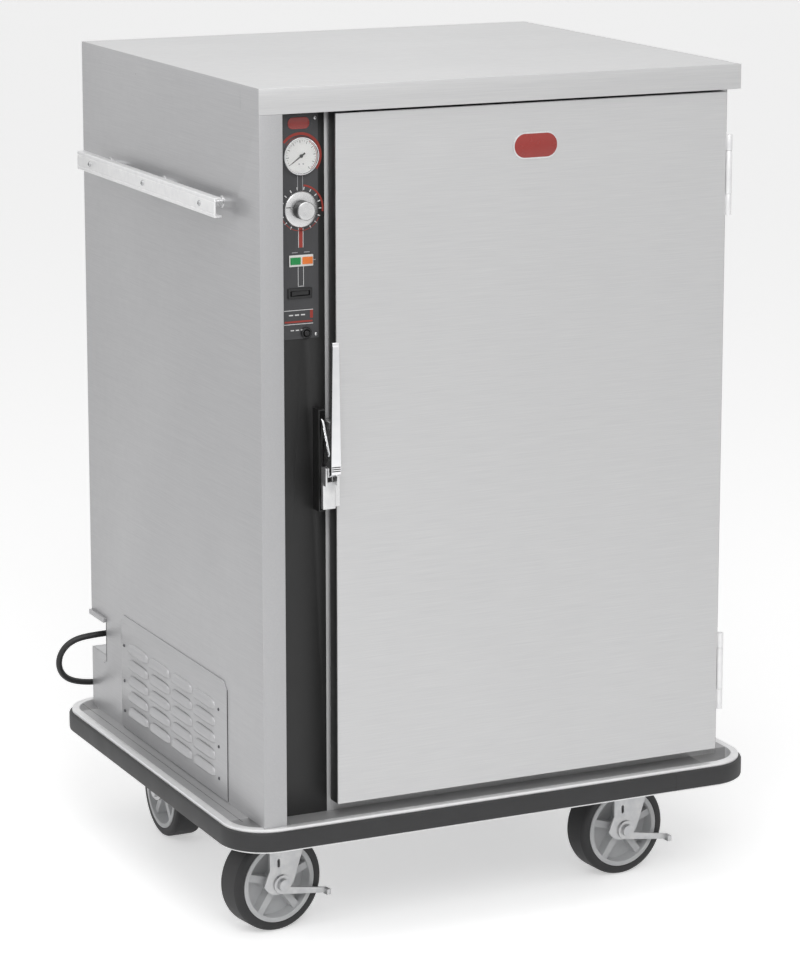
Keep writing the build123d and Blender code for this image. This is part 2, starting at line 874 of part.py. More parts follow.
# Moulded plug at the end of the cord
plug_start = coil_point(half_turns) + Vector(coil_tail, 0, 0)
with BuildPart() as power_plug:
    with BuildSketch(Plane(origin=plug_start, z_dir=(1, 0, 0))):
        Circle(cord_dia / 2 + 2)
    with BuildSketch(Plane(origin=plug_start + Vector(plug_neck, 0, 0), z_dir=(1, 0, 0))):
        Circle(plug_radius)
    loft()
    with BuildSketch(Plane(origin=plug_start + Vector(plug_neck, 0, 0), z_dir=(1, 0, 0))):
        Circle(plug_radius)
    extrude(amount=plug_length - plug_neck)
    plug_face = plug_start.X + plug_length
    for side in (-1, 1):
        y_blade = plug_start.Y + side * blade_gap / 2
        block(
            (plug_face, y_blade - blade_thick / 2, plug_start.Z - blade_width / 2),
            (plug_face + blade_length, y_blade + blade_thick / 2, plug_start.Z + blade_width / 2),
        )
    ground_z = plug_start.Z - 8
    rod((plug_face, plug_start.Y, ground_z), (plug_face + blade_length, plug_start.Y, ground_z), pin_radius)
save(power_plug, "power_plug")

# Push handle: a channel on three spacers
handle_face = left - handle_standoff - handle_depth
handle_ys = (
    handle_front_y + handle_screw_inset,
    (handle_front_y + handle_back_y) / 2,
    handle_back_y - handle_screw_inset,
)
handle_middle = handle_bottom + handle_height / 2
with BuildPart() as push_handle:
    block(
        (handle_face, handle_front_y, handle_bottom),
        (handle_face + handle_depth, handle_back_y, handle_bottom + handle_height),
    )
    block(
        (handle_face + handle_wall, handle_front_y - 1, handle_bottom + handle_wall),
        (handle_face + handle_depth + 1, handle_back_y + 1, handle_bottom + handle_height - handle_wall),
        mode=Mode.SUBTRACT,
    )
save(push_handle, "push_handle")

with BuildPart() as handle_spacers:
    for y in handle_ys:
        rod((left, y, handle_middle), (handle_face + handle_wall, y, handle_middle), spacer_radius)
save(handle_spacers, "handle_spacers")


# Small round-headed screws of the fascia, the access panel and the handle
screw_radius = 2.6
screw_head = 1.6
with BuildPart() as panel_screws:
    for z in (fascia_bottom + 5.5, fascia_top - 6.5):
        x = left + stile_width + fascia_width - 4.5
        rod((x, fascia_face, z), (x, fascia_face - screw_head, z), screw_radius)
    for y in (louvre_front_y + louvre_screw_front, louvre_back_y - louvre_screw_back):
        for z in (louvre_bottom + louvre_screw_low, (louvre_bottom + louvre_top) / 2 - 15.5, louvre_top - 50):
            rod((panel_face, y, z), (panel_face - screw_head, y, z), screw_radius)
    for y in handle_ys:
        rod(
            (handle_face, y, handle_middle), (handle_face - handle_screw_head, y, handle_middle),
            handle_screw_radius,
        )
save(panel_screws, "panel_screws")

# Latch keeper: a black channel on the strip, with the strike ramp inside
strike_gap = 1.0
strike_left = keeper_left + keeper_wall + 3
with BuildPart() as latch_keeper:
    block((keeper_left, keeper_front, keeper_bottom), (keeper_right, recess, keeper_top))
    block(
        (keeper_left + keeper_wall, keeper_front - 1, keeper_bottom + keeper_wall),
        (keeper_right + 1, recess - keeper_wall, keeper_top - keeper_wall),
        mode=Mode.SUBTRACT,
    )
    with BuildSketch(Plane.YZ.offset(strike_left)):
        with BuildLine():
            floor_y = recess - keeper_wall
            Polyline(
                (floor_y, keeper_top - 14), (keeper_front + 1, keeper_top - 20),
                (keeper_front + 1, keeper_top - 24), (floor_y - 12, keeper_top - 62),
                (floor_y - 12, keeper_bottom + 46), (keeper_front + 3, keeper_bottom + 24),
                (floor_y, keeper_bottom + 14), close=True,
            )
        make_face()
    extrude(amount=keeper_right - strike_gap - strike_left)
save(latch_keeper, "latch_keeper")

# Door: outer pan, insulation, inner panel and gasket
with BuildPart() as door_skin:
    block((door_left, door_face, door_bottom), (door_right, door_rear - door_sheet, door_top))
    fillet(door_skin.faces().sort_by(Axis.Y)[0].edges(), radius=1.2)
    block(
        (door_left + door_sheet, door_face + door_sheet, door_bottom + door_sheet),
        (door_right - door_sheet, door_rear, door_top - door_sheet),
        mode=Mode.SUBTRACT,
    )
save(door_skin, "door_skin")

with BuildPart() as door_insulation:
    block(
        (door_left + door_sheet, door_face + door_sheet, door_bottom + door_sheet),
        (door_right - door_sheet, door_rear - door_sheet, door_top - door_sheet),
    )
save(door_insulation, "door_insulation")

with BuildPart() as door_inner_panel:
    block((door_left, door_rear - door_sheet, door_bottom), (door_right, door_rear, door_top))
save(door_inner_panel, "door_inner_panel")

gasket_face = recess - gasket_squeeze_gap
with BuildPart() as door_gasket:
    block(
        (door_left + gasket_inset, door_rear, door_bottom + gasket_inset),
        (door_right - gasket_inset, gasket_face, door_top - gasket_inset),
    )
    gasket_inside = gasket_inset + gasket_width
    block(
        (door_left + gasket_inside, door_rear - 1, door_bottom + gasket_inside),
        (door_right - gasket_inside, gasket_face + 1, door_top - gasket_inside),
        mode=Mode.SUBTRACT,
    )
save(door_gasket, "door_gasket")

# Hinges: door leaves with the outer knuckles, frame leaves with the middle one and the pin
hinge_bottoms = (hinge_low_bottom, hinge_top_bottom)
leaf_bend = 6.0
frame_leaf_x = hinge_pin_x + knuckle_radius
with BuildPart() as hinge_door_leaves:
    for z in hinge_bottoms:
        for low, high in ((z, z + knuckle_low), (z + hinge_length - knuckle_high, z + hinge_length)):
            rod((hinge_pin_x, hinge_pin_y, low), (hinge_pin_x, hinge_pin_y, high), knuckle_radius)
            block((door_right, hinge_pin_y, low), (door_right + hinge_leaf, door_rear - door_sheet, high))
            rod(
                (hinge_pin_x, hinge_pin_y, low - 1), (hinge_pin_x, hinge_pin_y, high + 1),
                hinge_pin_radius + run_clearance, mode=Mode.SUBTRACT,
            )
        block(
            (door_right, hinge_pin_y + knuckle_radius + 1, z + knuckle_low),
            (door_right + hinge_leaf, door_rear - door_sheet, z + hinge_length - knuckle_high),
        )
save(hinge_door_leaves, "hinge_door_leaves")

with BuildPart() as hinge_frame_leaves:
    for z in hinge_bottoms:
        low = z + knuckle_low + knuckle_gap
        high = z + hinge_length - knuckle_high - knuckle_gap
        rod((hinge_pin_x, hinge_pin_y, low), (hinge_pin_x, hinge_pin_y, high), knuckle_radius)
        block((frame_leaf_x - hinge_leaf, hinge_pin_y, low), (frame_leaf_x, recess, high))
        block((frame_leaf_x - hinge_leaf, recess - hinge_leaf, z), (right - sheet, recess, z + hinge_length))
        rod(
            (hinge_pin_x, hinge_pin_y, z + 1), (hinge_pin_x, hinge_pin_y, z + hinge_length - 1),
            hinge_pin_radius,
        )
save(hinge_frame_leaves, "hinge_frame_leaves")

# Latch body on the door's left edge, with two ears and the lever's pin
with BuildPart() as latch_body:
    block(
        (latch_body_left, latch_body_front, latch_body_bottom),
        (door_left, latch_body_back, latch_body_top),
    )
    block(
        (latch_plate_left, latch_body_front - 8, latch_plate_bottom),
        (latch_plate_right, latch_body_front, latch_plate_top - 14),
    )
    fillet(latch_body.faces().sort_by(Axis.Y)[0].edges().filter_by(Axis.Z), radius=3)
    for side in (-1, 1):
        ear_near = grip_x + side * (lever_foot_width / 2 + latch_ear_gap)
        ear_far = ear_near + side * latch_ear
        block(
            (min(ear_near, ear_far), latch_pivot_y - 5, latch_pivot_z - 20),
            (max(ear_near, ear_far), latch_body_front, latch_pivot_z + 7),
        )
    pin_reach = lever_foot_width / 2 + latch_ear_gap + latch_ear
    rod(
        (grip_x - pin_reach, latch_pivot_y, latch_pivot_z), (grip_x + pin_reach, latch_pivot_y, latch_pivot_z),
        latch_pin_radius,
    )
save(latch_body, "latch_body")

# Latch lever: foot at the pivot, long grip that leans out to its tip
with BuildPart() as latch_lever:
    foot_plane = Plane(
        origin=(grip_x - lever_foot_width / 2, latch_pivot_y, latch_pivot_z), x_dir=(0, 1, 0), z_dir=(1, 0, 0)
    )
    with BuildSketch(foot_plane):
        with BuildLine():
            tip_y = lever_front - latch_pivot_y
            tip_z = lever_top - latch_pivot_z
            foot = latch_barrel_radius
            Polyline(
                (tip_y, tip_z), (tip_y, 0), (-foot, -foot), (0.75 * foot, -foot), (0.75 * foot, foot),
                (tip_y + lever_thick, 4.5 * foot), (tip_y + lever_thick, tip_z), close=True,
            )
        make_face()
    extrude(amount=lever_foot_width)
    fillet(latch_lever.edges().filter_by(Axis.X), radius=1.4)
    for side in (-1, 1):
        with BuildSketch(Plane(origin=(0, lever_front - 1, 0), x_dir=(1, 0, 0), z_dir=(0, 1, 0))):
            with BuildLine():
                Polyline(
                    (grip_x + side * lever_foot_width / 2, -latch_pivot_z - 20),
                    (grip_x + side * (lever_foot_width / 2 + 4), -latch_pivot_z - 20),
                    (grip_x + side * (lever_foot_width / 2 + 4), -lever_top - 1),
                    (grip_x + side * lever_tip_width / 2, -lever_top - 1),
                    close=True,
                )
            make_face()
        extrude(amount=latch_pivot_y - lever_front + 20, mode=Mode.SUBTRACT)
    rod(
        (grip_x - lever_foot_width, latch_pivot_y, latch_pivot_z),
        (grip_x + lever_foot_width, latch_pivot_y, latch_pivot_z),
        latch_pin_radius + run_clearance, mode=Mode.SUBTRACT,
    )
save(latch_lever, "latch_lever")

# Shelf supports: four uprights with arms that carry the shelves
shelf_levels = [shelf_first + step * shelf_pitch for step in range(shelf_count)]
upright_bottom = cavity_bottom
upright_top = shelf_levels[-1] + 120.0
with BuildPart() as shelf_supports:
    for y in (-support_y, support_y):
        for wall_x, inward, arm in (
            (cavity_left, 1, support_arm), (cavity_right, -1, support_arm_right)
        ):
            x_near = min(wall_x, wall_x + inward * support_depth)
            x_far = max(wall_x, wall_x + inward * support_depth)
            block(
                (x_near, y - support_width / 2, upright_bottom),
                (x_far, y + support_width / 2, upright_top),
            )
            arm_low = min(wall_x, wall_x + inward * arm)
            arm_high = max(wall_x, wall_x + inward * arm)
            for level in shelf_levels:
                block(
                    (arm_low, y - support_width / 2, level - support_arm_thick),
                    (arm_high, y + support_width / 2, level),
                )
save(shelf_supports, "shelf_supports")

# Wire shelves: a rim, two cross wires and a row of bars
shelf_left = cavity_left + duct_depth + 4 * shelf_side_gap
shelf_right = cavity_right - support_depth - shelf_side_gap - shelf_rim_wire
shelf_front = frame_back + 25.0
shelf_back = cavity_back - 12.0
with BuildPart() as wire_shelves:
    for level in shelf_levels:
        z_rim = level + shelf_rim_wire
        corners = [
            (shelf_left, shelf_front, z_rim), (shelf_right, shelf_front, z_rim),
            (shelf_right, shelf_back, z_rim), (shelf_left, shelf_back, z_rim),
        ]
        for start, end in zip(corners, corners[1:] + corners[:1]):
            rod(start, end, shelf_rim_wire)
        for x, y, z in corners:
            with Locations((x, y, z)):
                Sphere(shelf_rim_wire)
        bar_step = (shelf_right - shelf_left) / (shelf_bars + 1)
        for bar in range(1, shelf_bars + 1):
            x = shelf_left + bar * bar_step
            rod((x, shelf_front, z_rim), (x, shelf_back, z_rim), shelf_wire)
save(wire_shelves, "wire_shelves")

# Air duct cover on the cavity's left wall, with an inlet and a ladder of outlets
with BuildPart() as air_duct_cover:
    block(
        (cavity_left, duct_front_y, duct_bottom),
        (cavity_left + duct_depth, duct_back_y, duct_top),
    )
    block(
        (cavity_left - 1, duct_front_y + sheet, duct_bottom + sheet),
        (cavity_left + duct_depth - sheet, duct_back_y - sheet, duct_top - sheet),
        mode=Mode.SUBTRACT,
    )
    face_x = cavity_left + duct_depth
    rod(
        (face_x - sheet - 1, blower_y, blower_z), (face_x + 1, blower_y, blower_z),
        blower_inlet, mode=Mode.SUBTRACT,
    )
    outlet_count = int((duct_top - heater_low) // duct_slot_pitch)
    for step in range(outlet_count):
        z = heater_low + (step + 0.5) * duct_slot_pitch
        block(
            (face_x - sheet - 1, duct_front_y + 30, z - duct_slot / 2),
            (face_x + 1, duct_back_y - 30, z + duct_slot / 2),
            mode=Mode.SUBTRACT,
        )
save(air_duct_cover, "air_duct_cover")

# Heater element: a hairpin with both feet in the cavity wall
heater_x = cavity_left + duct_depth / 2
with BuildPart() as heater_element:
    with BuildLine():
        FilletPolyline(
            (cavity_left, blower_y - heater_half, heater_low),
            (heater_x, blower_y - heater_half, heater_low),
            (heater_x, blower_y - heater_half, heater_high),
            (heater_x, blower_y + heater_half, heater_high),
            (heater_x, blower_y + heater_half, heater_low),
            (cavity_left, blower_y + heater_half, heater_low),
            radius=[heater_foot_corner, heater_corner, heater_corner, heater_foot_corner],
        )
    with BuildSketch(Plane(origin=(cavity_left, blower_y - heater_half, heater_low), z_dir=(1, 0, 0))):
        Circle(heater_radius)
    sweep()
save(heater_element, "heater_element")

# Blower motor in the side compartment, its shaft through the wall
motor_face = cavity_left - sheet - insulation_left
wheel_left = cavity_left + 5.0
with BuildPart() as blower_motor:
    rod(
        (motor_face, blower_y, blower_z), (motor_face - motor_flange_thick, blower_y, blower_z),
        motor_flange,
    )
    rod((motor_face, blower_y, blower_z), (motor_face - motor_length, blower_y, blower_z), motor_radius)
    fillet(blower_motor.faces().sort_by(Axis.X)[0].edges(), radius=5)
    rod(
        (motor_face, blower_y, blower_z),
        (wheel_left + blower_wheel_width - 4, blower_y, blower_z), motor_shaft_radius,
    )
save(blower_motor, "blower_motor")

# Blower wheel: back plate, hub and a ring of blades
with BuildPart() as blower_wheel:
    rod((wheel_left, blower_y, blower_z), (wheel_left + 1.5, blower_y, blower_z), blower_wheel_radius)
    rod((wheel_left, blower_y, blower_z), (wheel_left + blower_wheel_width, blower_y, blower_z), 10)
    blade_plane = Plane(origin=(wheel_left, blower_y, blower_z), x_dir=(0, 1, 0), z_dir=(1, 0, 0))
    with BuildSketch(blade_plane):
        with PolarLocations(blower_wheel_radius - 9, blower_blades):
            Rectangle(16, 1.6, rotation=35)
    extrude(amount=blower_wheel_width)
    rod(
        (wheel_left - 1, blower_y, blower_z), (wheel_left + blower_wheel_width - 3.5, blower_y, blower_z),
        motor_shaft_radius + run_clearance, mode=Mode.SUBTRACT,
    )
save(blower_wheel, "blower_wheel")

# Caster places: name, swivel axis, heading of the trail, braked or not
casters = [
    ("front_left", -caster_x, caster_front_y, 189.0, True),
    ("front_right", caster_x, caster_front_y, 185.0, True),
    ("rear_left", -caster_x, caster_rear_y, 90.0, False),
    ("rear_right", caster_x, caster_rear_y, 82.0, False),
]

# Caster top plates with their kingpins
with BuildPart() as caster_plates:
    plate_bottom = caster_height - plate_thick
    crown_bottom = fork_crown_bottom
    for name, x, y, heading, braked in casters:
        block(
            (x - plate_length / 2, y - plate_width / 2, plate_bottom),
            (x + plate_length / 2, y + plate_width / 2, caster_height),
        )
        rod((x, y, plate_bottom), (x, y, crown_bottom - thrust_gap), kingpin_radius)
        rod(
            (x, y, crown_bottom - thrust_gap), (x, y, crown_bottom - thrust_gap - kingpin_head),
            kingpin_head_radius,
        )
    corners = caster_plates.edges().filter_by(Axis.Z).filter_by(lambda edge: edge.length < plate_thick + 0.1)
    fillet(corners, radius=8)
save(caster_plates, "caster_plates")


def caster_frame(x, y, heading):
    """Plane at wheel height with X along the trail and its origin at the wheel's middle."""
    along = Vector(cos(radians(heading)), sin(radians(heading)), 0)
    middle = Vector(x, y, wheel_radius) + along * caster_trail
    return Plane(origin=middle, x_dir=along, z_dir=(0, 0, 1))


def side_plane(frame, side_offset):
    """Upright plane across the axle, with X along the trail and Y up."""
    outward = frame.y_dir * -1
    origin = frame.origin + outward * side_offset
    return Plane(origin=origin, x_dir=frame.x_dir, z_dir=outward)


def make_fork(name, x, y, frame, braked):
    """Fork with crown, raceway and two legs, the axle bolt and the brake's pivot pin."""
    leg_outside = fork_inside / 2 + fork_leg
    crown_top = fork_crown_bottom + fork_crown_thick
    raceway_top = caster_height - plate_thick - thrust_gap
    leg_top = crown_top - wheel_radius
    with BuildPart() as fork:
        crown_plane = Plane(
            origin=frame.origin + Vector(0, 0, fork_crown_bottom - wheel_radius),
            x_dir=frame.x_dir, z_dir=(0, 0, 1),
        )
        with BuildSketch(crown_plane):
            with Locations(((fork_leg_rear - fork_leg_fore) / 2, 0)):
                Rectangle(fork_leg_rear + fork_leg_fore, 2 * leg_outside)
        extrude(amount=fork_crown_thick)
        with BuildSketch(Plane(origin=(x, y, fork_crown_bottom), z_dir=(0, 0, 1))):
            Circle(raceway_radius)
        extrude(amount=raceway_top - fork_crown_bottom)
        for near in (-leg_outside, fork_inside / 2):
            with BuildSketch(side_plane(frame, near)):
                with BuildLine():
                    Polyline(
                        (-fork_leg_end, 0), (-fork_leg_fore, leg_top - fork_leg_knee),
                        (-fork_leg_fore, leg_top), (fork_leg_rear, leg_top),
                        (fork_leg_rear, fork_leg_knee), (fork_leg_flare, 0),
                    )
                    ThreePointArc(
                        (fork_leg_flare, 0), ((fork_leg_flare - fork_leg_end) / 2, -fork_leg_drop),
                        (-fork_leg_end, 0),
                    )
                make_face()
                with Locations((5, 34)):
                    SlotOverall(slot_length, slot_width, rotation=90, mode=Mode.SUBTRACT)
            extrude(amount=fork_leg)
        rod(
            (x, y, fork_crown_bottom - 1), (x, y, raceway_top + 1),
            kingpin_radius + run_clearance, mode=Mode.SUBTRACT,
        )
        near_end = leg_outside + (2 * touch_gap + lever_plate if braked else 0)
        with BuildSketch(side_plane(frame, -near_end)):
            Circle(axle_radius)
        extrude(amount=near_end + leg_outside)
        for start in (-near_end - axle_head, leg_outside):
            with BuildSketch(side_plane(frame, start)):
                Circle(axle_head_radius)
            extrude(amount=axle_head)
    save(fork, f"caster_{name}_fork")


def make_core(name, frame):
    """Wheel core: rim, thin web, hub and spokes."""
    half = tread_width / 2
    with BuildPart() as core:
        with BuildSketch(side_plane(frame, -half)):
            Circle(core_radius)
            Circle(core_radius - rim_wall, mode=Mode.SUBTRACT)
        extrude(amount=tread_width)
        with BuildSketch(side_plane(frame, -web_thick / 2)):
            Circle(core_radius - rim_wall)
        extrude(amount=web_thick)
        with BuildSketch(side_plane(frame, -hub_length / 2)):
            Circle(hub_radius)
        extrude(amount=hub_length)
        with BuildSketch(side_plane(frame, -spoke_width / 2)):
            with PolarLocations((hub_radius + core_radius - rim_wall) / 2, spoke_count, start_angle=spoke_first):
                Rectangle(core_radius - rim_wall - hub_radius + 4, spoke_thick)
        extrude(amount=spoke_width)
        with BuildSketch(side_plane(frame, -hub_length)):
            Circle(axle_radius + run_clearance)
        extrude(amount=2 * hub_length, mode=Mode.SUBTRACT)
    save(core, f"caster_{name}_wheel_core")


def make_tyre(name, frame):
    """Tyre: a ring with rounded shoulders, seated on the core."""
    half = tread_width / 2
    with BuildPart() as tyre:
        with BuildSketch(side_plane(frame, -half)):
            Circle(wheel_radius)
        extrude(amount=tread_width)
        fillet(tyre.edges().filter_by(GeomType.CIRCLE), radius=tyre_round)
        with BuildSketch(side_plane(frame, -half - 1)):
            Circle(core_radius)
        extrude(amount=tread_width + 2, mode=Mode.SUBTRACT)
    save(tyre, f"caster_{name}_tyre")


def make_brake_lever(name, frame):
    """Brake lever: an eye round the axle bolt outside the leg, a tapered arm and a bent pedal tab."""
    plate_start = -(fork_inside / 2 + fork_leg + touch_gap + lever_plate)
    with BuildPart() as lever:
        with BuildSketch(side_plane(frame, plate_start)):
            Circle(lever_eye)
            with BuildLine():
                Polyline(
                    (-lever_eye / 2, -lever_eye / 3), (0, -lever_eye), (-pedal_reach, -pedal_drop - pedal_width / 2),
                    (-pedal_reach, -pedal_drop + pedal_width / 2), close=True,
                )
            make_face()
            Circle(axle_radius + run_clearance, mode=Mode.SUBTRACT)
        extrude(amount=lever_plate)
        with BuildSketch(side_plane(frame, plate_start - pedal_tab_out)):
            with Locations((-pedal_reach + pedal_tab / 2, -pedal_drop)):
                Rectangle(pedal_tab, pedal_width)
        extrude(amount=pedal_tab_out + lever_plate)
    save(lever, f"caster_{name}_brake_lever")


for name, x, y, heading, braked in casters:
    frame = caster_frame(x, y, heading)
    make_fork(name, x, y, frame, braked)
    make_core(name, frame)
    make_tyre(name, frame)
    if braked:
        make_brake_lever(name, frame)
    print(name, "axle", [round(value, 2) for value in frame.origin])
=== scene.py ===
"""Looks of a heated banquet cabinet: a satin steel body on casters, its door, controls and cord.

Everything is in metres in the frame of the CAD model: X to the right, Y to the back, Z up, the floor at zero.
"""

import json
import logging
from dataclasses import dataclass
from enum import Enum
from math import cos, pi, radians, sin
from typing import Any, Callable, Iterable, Sequence

import bmesh
import bpy
from mathutils import Matrix, Vector

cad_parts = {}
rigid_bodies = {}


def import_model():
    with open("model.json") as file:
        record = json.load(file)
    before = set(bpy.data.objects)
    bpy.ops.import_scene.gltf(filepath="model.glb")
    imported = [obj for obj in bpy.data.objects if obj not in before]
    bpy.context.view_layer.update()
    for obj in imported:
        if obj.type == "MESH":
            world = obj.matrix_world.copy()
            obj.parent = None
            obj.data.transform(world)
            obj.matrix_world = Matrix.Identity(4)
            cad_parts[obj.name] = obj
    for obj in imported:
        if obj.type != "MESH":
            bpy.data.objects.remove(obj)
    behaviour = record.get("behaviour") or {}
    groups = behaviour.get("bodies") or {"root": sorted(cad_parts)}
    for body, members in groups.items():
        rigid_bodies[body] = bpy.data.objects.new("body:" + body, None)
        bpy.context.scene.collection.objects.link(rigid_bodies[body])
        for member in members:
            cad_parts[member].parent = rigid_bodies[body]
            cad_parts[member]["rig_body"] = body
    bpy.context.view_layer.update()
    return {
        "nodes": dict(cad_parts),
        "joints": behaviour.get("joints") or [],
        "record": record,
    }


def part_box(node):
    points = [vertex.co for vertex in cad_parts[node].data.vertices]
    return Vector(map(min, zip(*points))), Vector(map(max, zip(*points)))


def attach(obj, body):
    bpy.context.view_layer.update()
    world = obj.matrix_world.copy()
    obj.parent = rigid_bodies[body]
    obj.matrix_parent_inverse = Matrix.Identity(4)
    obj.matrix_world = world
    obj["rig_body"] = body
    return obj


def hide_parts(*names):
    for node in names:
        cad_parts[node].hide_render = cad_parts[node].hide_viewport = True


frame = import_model()

logger = logging.getLogger("cabinet")
MM = 0.001

Colour = tuple[float, float, float, float]
Point = tuple[float, float, float]


class Axis(Enum):
    """The three directions of the shared frame."""

    X = 0
    Y = 1
    Z = 2


# Nodes and finishes


def linear(code: str) -> Colour:
    """Turn an sRGB colour into the linear one that Blender's sockets take.

    Args:
        code: six hex digits, with or without a leading hash.

    Returns:
        Linear red, green and blue, and an alpha of one.
    """
    digits = code.lstrip("#")
    parts = [int(digits[i:i + 2], 16) / 255 for i in (0, 2, 4)]
    red, green, blue = (c / 12.92 if c <= 0.04045 else ((c + 0.055) / 1.055) ** 2.4 for c in parts)
    return (red, green, blue, 1.0)


def add_node(tree: bpy.types.NodeTree, kind: str, inputs: dict[Any, Any] | None = None,
             **settings: Any) -> bpy.types.Node:
    """Add a shader node with its settings, values and links.

    Args:
        tree: the node tree that gets the node.
        kind: the node's type, without the leading "ShaderNode".
        inputs: values or output sockets by the name or place of the input.
        **settings: attributes of the node.

    Returns:
        The new node.
    """
    node = tree.nodes.new("ShaderNode" + kind)
    for key, value in settings.items():
        setattr(node, key, value)
    for key, value in (inputs or {}).items():
        if isinstance(value, bpy.types.NodeSocket):
            tree.links.new(value, node.inputs[key])
        else:
            node.inputs[key].default_value = value
    return node


def blank_material(name: str) -> tuple[bpy.types.Material, bpy.types.NodeTree, bpy.types.NodeSocket]:
    """Start a material with an empty tree.

    Args:
        name: the material's name.

    Returns:
        The material, its tree, and the Object coordinates of the piece.
    """
    material = bpy.data.materials.new(name)
    material.use_nodes = True
    tree = material.node_tree
    tree.nodes.clear()
    where = add_node(tree, "TexCoord").outputs["Object"]
    return material, tree, where


def close_material(tree: bpy.types.NodeTree, shader: bpy.types.NodeSocket) -> None:
    """Link a shader to the material's output."""
    add_node(tree, "OutputMaterial", {"Surface": shader})


def tint(tree: bpy.types.NodeTree, factor: bpy.types.NodeSocket, dark: str, light: str,
         low: float = 0.3, high: float = 0.7) -> bpy.types.NodeSocket:
    """Run a pattern's value through a ramp between two colours.

    Args:
        tree: the node tree.
        factor: the pattern's value.
        dark: hex colour at the low stop.
        light: hex colour at the high stop.
        low: place of the low stop.
        high: place of the high stop.

    Returns:
        The ramp's colour socket.
    """
    ramp = add_node(tree, "ValToRGB", {"Fac": factor})
    ramp.color_ramp.elements[0].position = low
    ramp.color_ramp.elements[0].color = linear(dark)
    ramp.color_ramp.elements[1].position = high
    ramp.color_ramp.elements[1].color = linear(light)
    return ramp.outputs["Color"]


@dataclass(frozen=True)
class RolledSteel:
    """Stainless sheet with a satin finish: fine parallel grain that spreads each highlight across it."""

    name: str
    light: str = "C4C4C4"
    dark: str = "B8B8B9"
    grain: Axis = Axis.Z
    grain_width: float = 0.9
    roughness: float = 0.36
    metallic: float = 0.42

    def make(self) -> bpy.types.Material:
        """Build the material. Real grain is some 0.05 mm wide; it is drawn wider so that it still shows."""
        material, tree, where = blank_material(self.name)
        across = 1 / (self.grain_width * MM)
        scale = [across, across, across]
        scale[self.grain.value] = across / 90
        stretched = add_node(tree, "Mapping", {"Vector": where, "Scale": scale})
        grain = add_node(tree, "TexNoise",
                         {"Vector": stretched.outputs[0], "Scale": 1.0, "Detail": 3.0, "Roughness": 0.6})
        clouds = add_node(tree, "TexNoise", {"Vector": where, "Scale": 1 / (260 * MM), "Detail": 2.0})
        worn = add_node(tree, "TexNoise", {"Vector": where, "Scale": 1 / (18 * MM), "Detail": 4.0})
        colour = tint(tree, grain.outputs["Fac"], self.dark, self.light, 0.25, 0.75)
        handled = add_node(tree, "MapRange", {
            "Value": clouds.outputs["Fac"], "From Min": 0.3, "From Max": 0.7,
            "To Min": self.roughness - 0.03, "To Max": self.roughness + 0.04})
        smudged = add_node(tree, "MapRange", {
            "Value": worn.outputs["Fac"], "From Min": 0.35, "From Max": 0.75, "To Min": -0.015,
            "To Max": 0.03})
        rough = add_node(tree, "Math", {0: handled.outputs[0], 1: smudged.outputs[0]}, operation="ADD")
        bump = add_node(tree, "Bump",
                        {"Height": grain.outputs["Fac"], "Strength": 0.12, "Distance": 0.05 * MM})
        shader = add_node(tree, "BsdfPrincipled", {
            "Base Color": colour, "Metallic": self.metallic, "Roughness": rough.outputs[0],
            "Normal": bump.outputs[0], "Anisotropic": 0.35})
        close_material(tree, shader.outputs[0])
        return material


@dataclass(frozen=True)
class Plated:
    """Bright plated or bare metal: zinc, chrome or mill aluminium, with faint clouding of its gloss."""

    name: str
    light: str
    dark: str
    roughness: float
    metallic: float = 1.0
    grit: float = 2.0
    bump: float = 0.1

    def make(self) -> bpy.types.Material:
        """Build the material; the grit is the spacing in mm of the coating's fine unevenness."""
        material, tree, where = blank_material(self.name)
        cloud = add_node(tree, "TexNoise", {"Vector": where, "Scale": 1 / (14 * MM), "Detail": 3.0})
        fine = add_node(tree, "TexNoise", {"Vector": where, "Scale": 1 / (self.grit * MM), "Detail": 2.0})
        colour = tint(tree, cloud.outputs["Fac"], self.dark, self.light)
        rough = add_node(tree, "MapRange", {
            "Value": fine.outputs["Fac"], "From Min": 0.3, "From Max": 0.7,
            "To Min": max(0.02, self.roughness - 0.04), "To Max": self.roughness + 0.05})
        bump = add_node(tree, "Bump",
                        {"Height": fine.outputs["Fac"], "Strength": self.bump, "Distance": 0.08 * MM})
        shader = add_node(tree, "BsdfPrincipled", {
            "Base Color": colour, "Metallic": self.metallic, "Roughness": rough.outputs[0],
            "Normal": bump.outputs[0]})
        close_material(tree, shader.outputs[0])
        return material


@dataclass(frozen=True)
class Moulded:
    """Moulded plastic or rubber with the fine texture of its mould, and a paler dusting where it is dull."""

    name: str
    colour: str
    dusty: str
    roughness: float
    texture: float = 1.2
    depth: float = 0.06
    ior: float = 1.5
    coat: float = 0.0

    def make(self) -> bpy.types.Material:
        """Build the material; the texture and the depth are the mould grain's spacing and height in mm."""
        material, tree, where = blank_material(self.name)
        grain = add_node(tree, "TexNoise",
                         {"Vector": where, "Scale": 1 / (self.texture * MM), "Detail": 3.0})
        dust = add_node(tree, "TexNoise",
                        {"Vector": where, "Scale": 1 / (45 * MM), "Detail": 4.0, "Roughness": 0.6})
        colour = tint(tree, dust.outputs["Fac"], self.colour, self.dusty, 0.4, 0.8)
        rough = add_node(tree, "MapRange", {
            "Value": dust.outputs["Fac"], "From Min": 0.3, "From Max": 0.7,
            "To Min": self.roughness - 0.04, "To Max": self.roughness + 0.06})
        bump = add_node(tree, "Bump",
                        {"Height": grain.outputs["Fac"], "Strength": 0.3, "Distance": self.depth * MM})
        shader = add_node(tree, "BsdfPrincipled", {
            "Base Color": colour, "Roughness": rough.outputs[0], "Normal": bump.outputs[0],
            "IOR": self.ior, "Coat Weight": self.coat})
        close_material(tree, shader.outputs[0])
        return material


